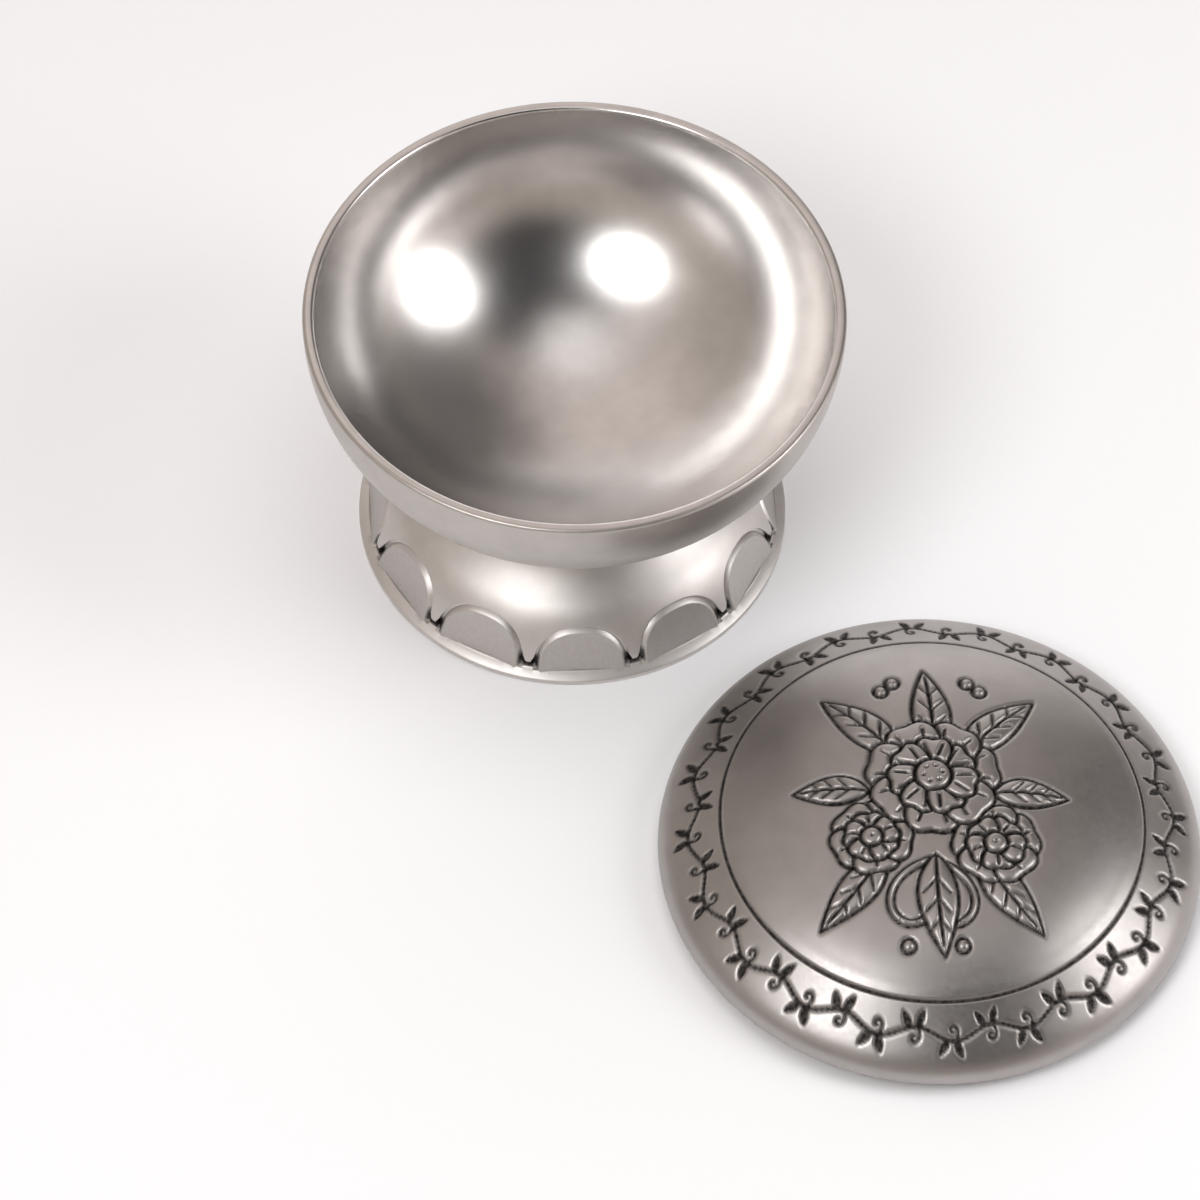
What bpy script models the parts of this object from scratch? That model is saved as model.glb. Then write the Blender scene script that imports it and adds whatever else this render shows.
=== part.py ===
"""Footed trinket box with a loose domed lid, cast in a silver coloured alloy.

Lengths are metres, +Z is up and the box stands on z = 0. The lid lies face up
beside the bowl, on its locating ring, as it is put down when the box is open.
"""

import math

import bmesh
import bpy
from mathutils import Matrix

# Bowl: a cast cup, a little thicker at its floor than at its lip
BOWL_RADIUS = 0.0380
RIM_HEIGHT = 0.0474
BOWL_DEPTH = 0.0308
LIP_THICKNESS = 0.0016
LIP_ROUND = 0.0004
FLOOR_THICKNESS = 0.0024
BOSS_RADIUS = 0.0040
BOSS_END_SETBACK = 0.0005
BOSS_HOLE_ROOF = 0.0011

# Foot: a hollow casting, flared from a neck under the bowl to a round flange
FLANGE_RADIUS = 0.0312
FLANGE_HEIGHT = 0.0015
FLANGE_ROUND = 0.0004
REST_FACE_WIDTH = 0.0040
NECK_RADIUS = 0.0176
FOOT_WALL = 0.0023
WEB_THICKNESS = 0.0022
TONGUE_SETBACK = 0.0016
TONGUE_WIDTH = 0.0031
PIT_HEIGHT = 0.0016
PIT_DEPTH = 0.0012
PIT_SLOPE_HEIGHT = 0.0006

# The flare's two joined curves: share of the way out from neck to tongue tip,
# and share of the way up from tongue tip to neck
LOWER_FLARE_SHARES = ((1.0, 0.0), (0.892, 0.163), (0.750, 0.319), (0.550, 0.419))
UPPER_FLARE_SHARES = ((0.550, 0.419), (0.300, 0.544), (0.0, 0.680), (0.0, 1.0))

# Petals: flat arched plates set in pockets all round the flare, with a crease left round each
PETAL_COUNT = 12
PETAL_PHASE = math.radians(3.7)
PETAL_SETBACK = 0.0015
PETAL_LEAN_IN = 0.0029
PETAL_RISE = 0.0065
PETAL_SINK = 0.0003
PETAL_THICKNESS = 0.0013
PETAL_ROUND = 0.0006
ARCH_SQUARENESS = 2.4
CREASE_WIDTH = 0.00035
POCKET_DEPTH = 0.0009
POCKET_LIFT = 0.0009

# Lid: a domed casting with an incised ring round its medallion
LID_DOME_HEIGHT = 0.0128
LID_DOME_FULLNESS = 1.82
LID_STAND = 0.0020
LID_EDGE_HEIGHT = 0.0010
LID_EDGE_INSET = 0.0007
LID_CROWN_WALL = 0.0018
BORDER_WIDTH = 0.0085
GROOVE_WIDTH = 0.0012
GROOVE_DEPTH = 0.0006
RING_THICKNESS = 0.0015
RING_SEAT_DEPTH = 0.0026
RING_ROUND = 0.0003
SEAT_SHOULDER = 0.0003

# Where the lid lies: its gap to the bowl seen from above, and the way there from +X
LID_GAP = 0.0021
LID_BEARING = math.radians(-49.15)

# Fixing under the foot
SCREW_RADIUS = 0.0020
SCREW_HEAD_RADIUS = 0.0036
SCREW_HEAD_HEIGHT = 0.0022
SCREW_TIP_CLEARANCE = 0.0004
SLOT_WIDTH = 0.0010
SLOT_DEPTH = 0.0010
WASHER_RADIUS = 0.0058
WASHER_THICKNESS = 0.0010

# Clearances and cutting overrun
SEAT_GAP = 0.0003
LID_CLEARANCE = 0.0007
OVERRUN = 0.0010
MERGE_DISTANCE = 0.000001

# Facets
ROUND_STEPS = 72
SMALL_ROUND_STEPS = 24
CUP_STEPS = 10
FLARE_STEPS = 4
DOME_STEPS = 7
UNDERSIDE_STEPS = 5
BORDER_STEPS = 5
EDGE_STEPS = 3
ARCH_STEPS = 12
BEVEL_STEPS = 2
SHARP_ANGLE = math.radians(35)

# Sizes that follow from the ones above
CUP_CENTRE_HEIGHT = RIM_HEIGHT - LIP_ROUND
CUP_INNER_RADIUS = BOWL_RADIUS - LIP_THICKNESS
CUP_INNER_DEPTH = BOWL_DEPTH - FLOOR_THICKNESS
CUP_FLOOR_HEIGHT = CUP_CENTRE_HEIGHT - CUP_INNER_DEPTH
WEB_TOP = CUP_CENTRE_HEIGHT - BOWL_DEPTH - SEAT_GAP
WEB_UNDERSIDE = WEB_TOP - WEB_THICKNESS
BOSS_END = WEB_UNDERSIDE + BOSS_END_SETBACK
BOSS_HOLE_TOP = CUP_FLOOR_HEIGHT - BOSS_HOLE_ROOF
SCREW_HOLE_RADIUS = SCREW_RADIUS + SEAT_GAP
WASHER_TOP = WEB_UNDERSIDE - SEAT_GAP
WASHER_UNDERSIDE = WASHER_TOP - WASHER_THICKNESS
SCREW_HEAD_TOP = WASHER_UNDERSIDE - SEAT_GAP
SCREW_HEAD_END = SCREW_HEAD_TOP - SCREW_HEAD_HEIGHT
TONGUE_RADIUS = FLANGE_RADIUS - TONGUE_SETBACK
TONGUE_HEIGHT = FLANGE_HEIGHT + PIT_HEIGHT
PIT_RADIUS = TONGUE_RADIUS - PIT_DEPTH
PETAL_FOOT_RADIUS = FLANGE_RADIUS - PETAL_SETBACK
PETAL_HALF_WIDTH = PETAL_FOOT_RADIUS * math.tan(math.pi / PETAL_COUNT) - TONGUE_WIDTH / 2
PETAL_LENGTH = PETAL_SINK + math.hypot(PETAL_LEAN_IN, PETAL_RISE)
LID_RADIUS = BOWL_RADIUS
LID_EQUATOR = LID_STAND + LID_EDGE_HEIGHT
GROOVE_RADIUS = LID_RADIUS - BORDER_WIDTH
RING_OUTER_RADIUS = CUP_INNER_RADIUS - LID_CLEARANCE
RING_INNER_RADIUS = RING_OUTER_RADIUS - RING_THICKNESS
RING_SEAT_HEIGHT = LID_STAND + RING_SEAT_DEPTH
RING_HEIGHT = RING_SEAT_HEIGHT - SEAT_GAP
UNDERSIDE_RADIUS = RING_INNER_RADIUS - SEAT_SHOULDER
UNDERSIDE_RISE = LID_EQUATOR + LID_DOME_HEIGHT - LID_CROWN_WALL - RING_SEAT_HEIGHT

# The origin is midway between the two round outlines, which are alike in size
HALF_WAY = (BOWL_RADIUS + LID_RADIUS + LID_GAP) / 2
LID_PLACE = (HALF_WAY * math.cos(LID_BEARING), HALF_WAY * math.sin(LID_BEARING))
BOWL_PLACE = (-LID_PLACE[0], -LID_PLACE[1])


def clear_scene():
    """Remove every object, so that the model starts from nothing."""
    for item in list(bpy.data.objects):
        bpy.data.objects.remove(item, do_unlink=True)


def cast_metal(name, colour, roughness):
    """A metal of one colour, from satin to polished."""
    material = bpy.data.materials.new(name)
    material.use_nodes = True
    shader = material.node_tree.nodes["Principled BSDF"]
    shader.inputs["Base Color"].default_value = (*colour, 1)
    shader.inputs["Metallic"].default_value = 1
    shader.inputs["Roughness"].default_value = roughness
    return material


def axis_empty(name, place):
    """An empty on a vertical axis, which carries the pieces turned about it."""
    empty = bpy.data.objects.new(name, None)
    bpy.context.collection.objects.link(empty)
    empty.location = (place[0], place[1], 0)
    return empty


def add_object(name, shape, parent, material=None):
    """Turn a bmesh into a smooth shaded object on its axis."""
    bmesh.ops.recalc_face_normals(shape, faces=shape.faces)
    mesh = bpy.data.meshes.new(name)
    shape.to_mesh(mesh)
    shape.free()
    mesh.shade_smooth()
    mesh.set_sharp_from_angle(angle=SHARP_ANGLE)
    item = bpy.data.objects.new(name, mesh)
    bpy.context.collection.objects.link(item)
    item.parent = parent
    if material:
        mesh.materials.append(material)
    return item


def turned(outline, steps, closed=False):
    """Spin an outline of (radius, height) points about the vertical axis."""
    shape = bmesh.new()
    points = [shape.verts.new((radius, 0, height)) for radius, height in outline]
    pairs = list(zip(points, points[1:]))
    if closed:
        pairs.append((points[-1], points[0]))
    edges = [shape.edges.new(pair) for pair in pairs]
    bmesh.ops.spin(
        shape,
        geom=points + edges,
        cent=(0, 0, 0),
        axis=(0, 0, 1),
        angle=math.tau,
        steps=steps,
        use_merge=True,
    )
    bmesh.ops.remove_doubles(shape, verts=shape.verts, dist=MERGE_DISTANCE)
    return shape


def quarter_round(centre, radii, start, end, steps):
    """Points on part of an ellipse, with angles measured from +radius towards +height."""
    points = []
    for step in range(steps + 1):
        turn = start + (end - start) * step / steps
        radius = centre[0] + radii[0] * math.cos(turn)
        height = centre[1] + radii[1] * math.sin(turn)
        points.append((radius, height))
    return points


def cup_arc(radius, depth, inner_limit, steps):
    """The cup's curve from a limit near its axis up to its widest point."""
    start = math.asin(inner_limit / radius)
    points = []
    for step in range(steps + 1):
        turn = start + (math.pi / 2 - start) * step / steps
        points.append((radius * math.sin(turn), CUP_CENTRE_HEIGHT - depth * math.cos(turn)))
    return points


def cup_underside(radius):
    """Height of the bowl's outer surface at a radius."""
    return CUP_CENTRE_HEIGHT - BOWL_DEPTH * math.sqrt(1 - (radius / BOWL_RADIUS) ** 2)


def bowl_outline():
    """From the roof of the screw hole, out over the boss and the cup, and in to the floor."""
    lip_centre_out = (BOWL_RADIUS - LIP_ROUND, CUP_CENTRE_HEIGHT)
    lip_centre_in = (CUP_INNER_RADIUS + LIP_ROUND, CUP_CENTRE_HEIGHT)
    round_radii = (LIP_ROUND, LIP_ROUND)
    inner = cup_arc(CUP_INNER_RADIUS, CUP_INNER_DEPTH, 0, CUP_STEPS)
    return [
        (0, BOSS_HOLE_TOP),
        (SCREW_HOLE_RADIUS, BOSS_HOLE_TOP),
        (SCREW_HOLE_RADIUS, BOSS_END),
        (BOSS_RADIUS, BOSS_END),
        *cup_arc(BOWL_RADIUS, BOWL_DEPTH, BOSS_RADIUS, CUP_STEPS),
        *quarter_round(lip_centre_out, round_radii, 0, math.pi / 2, BEVEL_STEPS)[1:],
        *quarter_round(lip_centre_in, round_radii, math.pi / 2, math.pi, BEVEL_STEPS),
        *reversed(inner[:-1]),
    ]


def bezier(controls, steps):
    """Points on a cubic curve through its first and last control points."""
    points = []
    for step in range(steps + 1):
        t = step / steps
        weights = ((1 - t) ** 3, 3 * t * (1 - t) ** 2, 3 * t * t * (1 - t), t ** 3)
        points.append(tuple(sum(w * c[axis] for w, c in zip(weights, controls)) for axis in (0, 1)))
    return points


def flare_curve():
    """The foot's outside from the tongue tips up to the neck, under the bowl."""
    neck_height = cup_underside(NECK_RADIUS) - SEAT_GAP
    reach = TONGUE_RADIUS - NECK_RADIUS
    rise = neck_height - TONGUE_HEIGHT

    def place(shares):
        return [(NECK_RADIUS + out * reach, TONGUE_HEIGHT + up * rise) for out, up in shares]

    lower = bezier(place(LOWER_FLARE_SHARES), FLARE_STEPS)
    upper = bezier(place(UPPER_FLARE_SHARES), FLARE_STEPS)
    return lower + upper[1:]


def inside_of(curve, wall):
    """A curve moved in by the wall, square to itself, for the hollow of the foot."""
    moved = []
    for index, (radius, height) in enumerate(curve):
        before = curve[max(index - 1, 0)]
        after = curve[min(index + 1, len(curve) - 1)]
        run = after[0] - before[0]
        rise = after[1] - before[1]
        length = math.hypot(run, rise)
        moved.append((radius - wall * rise / length, height + wall * run / length))
    return moved


def seat_curve(inner_radius):
    """The dished top of the foot, which follows the bowl's underside."""
    points = []
    for step in range(EDGE_STEPS + 1):
        radius = NECK_RADIUS + (inner_radius - NECK_RADIUS) * step / EDGE_STEPS
        points.append((radius, cup_underside(radius) - SEAT_GAP))
    return points


def foot_outline():
    """Closed outline of the hollow foot: flange, pit, flare, seat, web and inside."""
    flare = flare_curve()
    web_hole = BOSS_RADIUS + SEAT_GAP
    hollow = [point for point in inside_of(flare, FOOT_WALL) if point[1] < WEB_UNDERSIDE]
    flange_round = quarter_round(
        (FLANGE_RADIUS - FLANGE_ROUND, FLANGE_HEIGHT - FLANGE_ROUND),
        (FLANGE_ROUND, FLANGE_ROUND),
        0,
        math.pi / 2,
        BEVEL_STEPS,
    )
    return [
        (FLANGE_RADIUS - REST_FACE_WIDTH, 0),
        (FLANGE_RADIUS, 0),
        *flange_round,
        (PIT_RADIUS, FLANGE_HEIGHT),
        (PIT_RADIUS, TONGUE_HEIGHT - PIT_SLOPE_HEIGHT),
        *flare,
        *seat_curve(web_hole)[1:],
        (web_hole, WEB_UNDERSIDE),
        (hollow[-1][0], WEB_UNDERSIDE),
        *reversed(hollow),
    ]


def signed_power(value, exponent):
    """A power that keeps the sign of its base."""
    return math.copysign(abs(value) ** exponent, value)


def arch_prism(half_width, low, high, front, back):
    """An arch from its feet at low to its top at high, as deep as from front to back.

    Its own frame has X across, Y inward and Z up along the petal's face.
    """
    shape = bmesh.new()
    outline = []
    for step in range(ARCH_STEPS + 1):
        turn = math.pi * step / ARCH_STEPS
        across = half_width * signed_power(math.cos(turn), 2 / ARCH_SQUARENESS)
        up = low + (high - low) * signed_power(math.sin(turn), 2 / ARCH_SQUARENESS)
        outline.append(shape.verts.new((across, front, up)))
    face = shape.faces.new(outline)
    grown = bmesh.ops.extrude_face_region(shape, geom=[face], use_keep_orig=True)
    moved = [item for item in grown["geom"] if isinstance(item, bmesh.types.BMVert)]
    bmesh.ops.translate(shape, verts=moved, vec=(0, back - front, 0))
    bmesh.ops.recalc_face_normals(shape, faces=shape.faces)
    return shape


def petal_plate():
    """One petal, with the edge of its face rounded all along the arch."""
    shape = arch_prism(PETAL_HALF_WIDTH, 0, PETAL_LENGTH, 0, PETAL_THICKNESS)
    rim = []
    for edge in shape.edges:
        in_face = all(vert.co.y == 0 for vert in edge.verts)
        in_foot = all(vert.co.z < PETAL_SINK for vert in edge.verts)
        if in_face and not in_foot:
            rim.append(edge)
    bmesh.ops.bevel(
        shape,
        geom=rim,
        offset=PETAL_ROUND,
        segments=BEVEL_STEPS,
        profile=0.5,
        affect="EDGES",
    )
    return shape


def petal_pocket():
    """What is cut from the flare round one petal, out past the flare's surface."""
    half_width = PETAL_HALF_WIDTH + CREASE_WIDTH
    top = PETAL_LENGTH + CREASE_WIDTH
    return arch_prism(half_width, POCKET_LIFT, top, -2 * OVERRUN, POCKET_DEPTH)


def ring_of(name, make_shape, parent):
    """A guide object with a shape at each petal's place round the foot."""
    lean = math.atan2(PETAL_LEAN_IN, PETAL_RISE)
    stand = Matrix.Translation((0, -PETAL_FOOT_RADIUS, FLANGE_HEIGHT - PETAL_SINK))
    ring = bmesh.new()
    for index in range(PETAL_COUNT):
        azimuth = PETAL_PHASE + math.tau * index / PETAL_COUNT
        shape = make_shape()
        turn = Matrix.Rotation(azimuth, 4, "Z") @ stand @ Matrix.Rotation(-lean, 4, "X")
        bmesh.ops.transform(shape, matrix=turn, verts=shape.verts)
        mesh = bpy.data.meshes.new(name)
        shape.to_mesh(mesh)
        shape.free()
        ring.from_mesh(mesh)
        bpy.data.meshes.remove(mesh)
    guide = add_object(name, ring, parent)
    mark_as_guide(guide)
    return guide


def mark_as_guide(item):
    """Show a cutter or guide as wires only, outside the finished model."""
    item.hide_render = True
    item.display_type = "WIRE"


def add_boolean(item, other, operation):
    """Join another closed shape to an object, or cut it away."""
    modifier = item.modifiers.new(other.name, "BOOLEAN")
    modifier.operation = operation
    modifier.solver = "EXACT"
    modifier.object = other


def make_bowl(parent):
    material = cast_metal("satin_bowl_metal", (0.56, 0.55, 0.53), 0.28)
    return add_object("bowl", turned(bowl_outline(), ROUND_STEPS), parent, material)


def make_foot(parent):
    material = cast_metal("antiqued_foot_metal", (0.50, 0.49, 0.47), 0.36)
    shape = turned(foot_outline(), ROUND_STEPS, closed=True)
    foot = add_object("pedestal_foot", shape, parent, material)
    add_boolean(foot, ring_of("petal_pockets", petal_pocket, parent), "DIFFERENCE")
    add_boolean(foot, ring_of("petal_plates", petal_plate, parent), "UNION")
    return foot


def make_washer(parent):
    material = cast_metal("zinc_plated_washer", (0.60, 0.60, 0.62), 0.40)
    hole = SCREW_HOLE_RADIUS
    outline = [
        (hole, WASHER_UNDERSIDE),
        (WASHER_RADIUS, WASHER_UNDERSIDE),
        (WASHER_RADIUS, WASHER_TOP),
        (hole, WASHER_TOP),
    ]
    shape = turned(outline, SMALL_ROUND_STEPS, closed=True)
    return add_object("foot_washer", shape, parent, material)


def make_screw(parent):
    material = cast_metal("zinc_plated_screw", (0.60, 0.60, 0.62), 0.35)
    head_round = quarter_round(
        (SCREW_HEAD_RADIUS - SLOT_DEPTH, SCREW_HEAD_END + SLOT_DEPTH),
        (SLOT_DEPTH, -SLOT_DEPTH),
        math.pi / 2,
        0,
        BEVEL_STEPS,
    )
    outline = [
        (0, SCREW_HEAD_END),
        *head_round,
        (SCREW_HEAD_RADIUS, SCREW_HEAD_TOP),
        (SCREW_RADIUS, SCREW_HEAD_TOP),
        (SCREW_RADIUS, BOSS_HOLE_TOP - SCREW_TIP_CLEARANCE),
        (0, BOSS_HOLE_TOP - SCREW_TIP_CLEARANCE),
    ]
    screw = add_object("foot_screw", turned(outline, SMALL_ROUND_STEPS), parent, material)
    add_boolean(screw, slot_cutter(parent), "DIFFERENCE")
    return screw


def slot_cutter(parent):
    """A bar across the screw head, which cuts the slot for a driver."""
    shape = bmesh.new()
    length = 2 * (SCREW_HEAD_RADIUS + OVERRUN)
    height = SLOT_DEPTH + OVERRUN
    size = Matrix.Diagonal((length, SLOT_WIDTH, height, 1))
    place = Matrix.Translation((0, 0, SCREW_HEAD_END + SLOT_DEPTH - height / 2))
    bmesh.ops.create_cube(shape, size=1, matrix=place @ size)
    cutter = add_object("slot_cutter", shape, parent)
    mark_as_guide(cutter)
    return cutter


def dome_arc(radius, base, rise, start, end, steps):
    """Points on a dome of the lid's fullness, from a start radius to an end radius."""
    power = 2 / LID_DOME_FULLNESS
    first = math.asin((start / radius) ** (1 / power))
    last = math.asin(min((end / radius) ** (1 / power), 1))
    points = []
    for step in range(steps + 1):
        turn = first + (last - first) * step / steps
        height = base + rise * max(math.cos(turn), 0) ** power
        points.append((radius * math.sin(turn) ** power, height))
    return points


def lid_outline():
    """From the crown, over the incised ring and the border, and back up the hollow."""
    groove_in = GROOVE_RADIUS - GROOVE_WIDTH / 2
    groove_out = GROOVE_RADIUS + GROOVE_WIDTH / 2
    crown = dome_arc(LID_RADIUS, LID_EQUATOR, LID_DOME_HEIGHT, 0, groove_in, DOME_STEPS)
    border = dome_arc(
        LID_RADIUS, LID_EQUATOR, LID_DOME_HEIGHT, groove_out, LID_RADIUS, BORDER_STEPS
    )
    groove_floor = (crown[-1][1] + border[0][1]) / 2 - GROOVE_DEPTH
    edge = quarter_round(
        (LID_RADIUS - LID_EDGE_INSET, LID_EQUATOR),
        (LID_EDGE_INSET, LID_EDGE_HEIGHT),
        0,
        -math.pi / 2,
        EDGE_STEPS,
    )
    seat_radius = RING_OUTER_RADIUS + SEAT_GAP
    underside = dome_arc(
        UNDERSIDE_RADIUS, RING_SEAT_HEIGHT, UNDERSIDE_RISE, 0, UNDERSIDE_RADIUS, UNDERSIDE_STEPS
    )
    return [
        *crown,
        (GROOVE_RADIUS - GROOVE_WIDTH / 4, groove_floor),
        (GROOVE_RADIUS + GROOVE_WIDTH / 4, groove_floor),
        *border,
        *edge[1:],
        (seat_radius, LID_STAND),
        (seat_radius, RING_SEAT_HEIGHT),
        *reversed(underside),
    ]


def make_lid(parent):
    material = cast_metal("antiqued_lid_metal", (0.46, 0.45, 0.43), 0.34)
    return add_object("lid", turned(lid_outline(), ROUND_STEPS), parent, material)


def make_locating_ring(parent):
    material = cast_metal("satin_ring_metal", (0.55, 0.54, 0.52), 0.35)
    round_radii = (RING_ROUND, RING_ROUND)
    inner_round = quarter_round(
        (RING_INNER_RADIUS + RING_ROUND, RING_ROUND), round_radii, math.pi, 1.5 * math.pi, BEVEL_STEPS
    )
    outer_round = quarter_round(
        (RING_OUTER_RADIUS - RING_ROUND, RING_ROUND), round_radii, 1.5 * math.pi, math.tau, BEVEL_STEPS
    )
    outline = [
        (RING_INNER_RADIUS, RING_HEIGHT),
        *inner_round,
        *outer_round,
        (RING_OUTER_RADIUS, RING_HEIGHT),
    ]
    shape = turned(outline, ROUND_STEPS, closed=True)
    return add_object("lid_locating_ring", shape, parent, material)


def main():
    clear_scene()
    bowl_axis = axis_empty("bowl_axis", BOWL_PLACE)
    lid_axis = axis_empty("lid_axis", LID_PLACE)
    make_bowl(bowl_axis)
    make_foot(bowl_axis)
    make_washer(bowl_axis)
    make_screw(bowl_axis)
    make_lid(lid_axis)
    make_locating_ring(lid_axis)


main()
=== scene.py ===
"""Builds a cast trinket box in antique pewter, its lid off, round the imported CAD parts.

Lengths are metres, +Z is up and the box stands on z = 0. Each piece is modelled with
Blender's own tools on its axis, then moved to the axis that its CAD part turns about.
The sizes and colours come first, then the shared tools, the pieces, the metals and the stage.
"""

import math

import bmesh
import bpy
import numpy as np
from mathutils import Matrix, Vector


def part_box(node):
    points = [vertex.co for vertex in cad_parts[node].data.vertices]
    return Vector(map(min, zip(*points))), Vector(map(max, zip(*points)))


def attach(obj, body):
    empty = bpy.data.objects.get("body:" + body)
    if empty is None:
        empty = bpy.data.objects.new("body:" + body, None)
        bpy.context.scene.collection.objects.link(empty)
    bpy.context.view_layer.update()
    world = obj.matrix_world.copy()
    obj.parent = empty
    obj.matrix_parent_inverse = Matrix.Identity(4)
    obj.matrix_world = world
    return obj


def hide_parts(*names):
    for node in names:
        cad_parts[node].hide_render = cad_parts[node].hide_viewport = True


bl_info = {
    "name": "Pewter Trinket Box",
    "version": (1, 0, 0),
    "blender": (4, 5, 0),
    "location": "View3D > Sidebar > Trinket Box",
    "description": "Adds a footed pewter trinket box with its lid off, piece by piece",
    "category": "Add Mesh",
}

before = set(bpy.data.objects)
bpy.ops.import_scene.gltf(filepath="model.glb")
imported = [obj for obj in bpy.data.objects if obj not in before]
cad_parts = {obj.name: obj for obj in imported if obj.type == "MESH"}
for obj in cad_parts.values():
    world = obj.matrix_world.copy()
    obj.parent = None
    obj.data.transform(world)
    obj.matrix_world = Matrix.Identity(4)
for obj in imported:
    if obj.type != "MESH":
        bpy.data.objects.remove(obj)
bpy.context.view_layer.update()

MM = 0.001
MERGE_DISTANCE = 1e-6
OVERRUN = 1 * MM  # a cutting shape goes this far past what it cuts
JOINT_GAP = 0.3 * MM  # between two pieces that are fixed together
RING_CLEARANCE = 0.7 * MM  # all round, between the locating ring and the bowl's lip
RING_SEAT_DEPTH = 2.6 * MM  # from the lid's lower edge up to the roof of the ring's seat
STEEP_EDGE = 1.6 * MM  # the last of the lid's border, which is steep and isn't carved
PETAL_SINK = 0.3 * MM  # a petal's own frame starts this far under the flange's top
PETAL_SQUARENESS = 2.4  # power of a petal's arch, 2 for an ellipse
CREASE_SHADE = 0.08  # how dark the painted shade in the crease round a petal is, 1 being as dark as full patina
FIELD_PATINA = 0.24  # how dark the film on a petal's flat field is
GRID = 220  # faces along each side of the medallion's grid, a quarter of those round the lid
AIM = Vector((0, 0, 20 * MM))  # where the lights point

# The camera's place from the foot of the bowl's axis. It was fitted, with the lens, pitch and
# roll, to the outlines of the rim, the foot and the lid.
CAMERA_FROM_BOWL = Vector((4.33 * MM, -468.5 * MM, 651.74 * MM))


def middle_of(node):
    """The vertical axis of a round CAD part, as its place on the floor."""
    low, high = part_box(node)
    return Vector(((low.x + high.x) / 2, (low.y + high.y) / 2, 0))


def half_width_of(node):
    low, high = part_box(node)
    return (high.x - low.x) / 2


BOWL_AXIS = middle_of("bowl")
LID_AXIS = middle_of("lid")


def length_property(name, default, description):
    """A length that a user can change, shown in the scene's own units."""
    return bpy.props.FloatProperty(
        name=name, default=default, description=description, min=0, precision=5, unit="LENGTH"
    )


def colour_property(name, code, description):
    """A colour that a user can change, given as an sRGB hex value."""
    return bpy.props.FloatVectorProperty(
        name=name,
        default=linear(code),
        description=description,
        size=3,
        min=0,
        max=1,
        subtype="COLOR",
    )


def share_property(name, default, description):
    return bpy.props.FloatProperty(
        name=name, default=default, description=description, min=0, max=1, subtype="FACTOR"
    )


def angle_property(name, degrees, description):
    return bpy.props.FloatProperty(
        name=name, default=math.radians(degrees), description=description, subtype="ANGLE"
    )


def power_property(name, watts, description):
    return bpy.props.FloatProperty(
        name=name, default=watts, description=description, min=0, unit="POWER"
    )


def linear(code):
    """Turn an sRGB hex value such as C8C4BE into linear red, green and blue."""
    parts = [int(code[start : start + 2], 16) / 255 for start in (0, 2, 4)]
    return tuple(
        part / 12.92 if part <= 0.04045 else ((part + 0.055) / 1.055) ** 2.4 for part in parts
    )


class BowlSizes(bpy.types.PropertyGroup):
    """Sizes of the cast bowl."""

    radius: length_property("Radius", half_width_of("bowl"), "Outside radius at the rim")
    rim_height: length_property("Rim height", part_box("bowl")[1].z, "Height of the lip's top")
    depth: length_property("Depth", 30.8 * MM, "From the lip's round down to the floor's outside")
    lip_thickness: length_property("Lip thickness", 1.6 * MM, "Wall at the rim")
    lip_round: length_property("Lip round", 0.5 * MM, "Radius of the lip's two edges")
    floor_thickness: length_property("Floor thickness", 2.4 * MM, "Wall at the bottom of the cup")
    boss_radius: length_property("Boss radius", 4.0 * MM, "Radius of the boss that takes the screw")
    boss_end: length_property("Boss end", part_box("bowl")[0].z, "Height of the boss's lower end")
    hole_radius: length_property("Hole radius", 2.3 * MM, "Radius of the screw's blind hole")
    hole_roof: length_property("Hole roof", 1.1 * MM, "Metal left over the blind hole")


class FootSizes(bpy.types.PropertyGroup):
    """Sizes of the cast foot and its ring of petals."""

    flange_radius: length_property(
        "Flange radius", half_width_of("pedestal_foot"), "Outside radius of the base"
    )
    flange_height: length_property("Flange height", 1.5 * MM, "Thickness of the base under the petals")
    flange_edge: length_property("Flange edge", 0.95 * MM, "Thickness of the base at its edge")
    rest_width: length_property("Rest width", 4.0 * MM, "Width of the ring that the box stands on")
    neck_radius: length_property("Neck radius", 17.6 * MM, "Radius where the foot meets the bowl")
    wall: length_property("Wall", 2.3 * MM, "Thickness of the hollow casting")
    web: length_property("Web", 2.2 * MM, "Thickness of the web under the bowl")
    tongue_setback: length_property("Tongue setback", 1.6 * MM, "From the flange's edge in to the flare")
    tongue_rise: length_property("Tongue rise", 1.6 * MM, "From the flange up to where the flare starts")
    petal_count: bpy.props.IntProperty(
        name="Petals", default=12, description="Number of arched petals round the foot", min=3, max=24
    )
    petal_phase: angle_property("Petal phase", 3.7, "Turn of the ring of petals")
    petal_setback: length_property("Petal setback", 1.5 * MM, "From the flange's edge in to a petal's foot")
    petal_lean: length_property("Petal lean", 2.9 * MM, "How far a petal's top leans in")
    petal_rise: length_property("Petal rise", 6.5 * MM, "Height of a petal over the flange")
    petal_gap: length_property("Petal gap", 2.1 * MM, "Space between the feet of two petals")
    petal_thickness: length_property("Petal thickness", 1.3 * MM, "Depth of a petal's plate")
    petal_round: length_property("Petal round", 0.95 * MM, "Width of the bright, broken edge of a petal")
    crease_width: length_property("Crease width", 0.10 * MM, "Width of the dark line round a petal")
    crease_depth: length_property("Crease depth", 0.6 * MM, "Depth of the pocket that a petal lies in")
    pit_width: length_property("Pit width", 0.62 * MM, "Width of the dark pit round a tongue's tip")
    tip_radius: length_property("Tip radius", 0.42 * MM, "Radius of a tongue's round tip")


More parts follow.
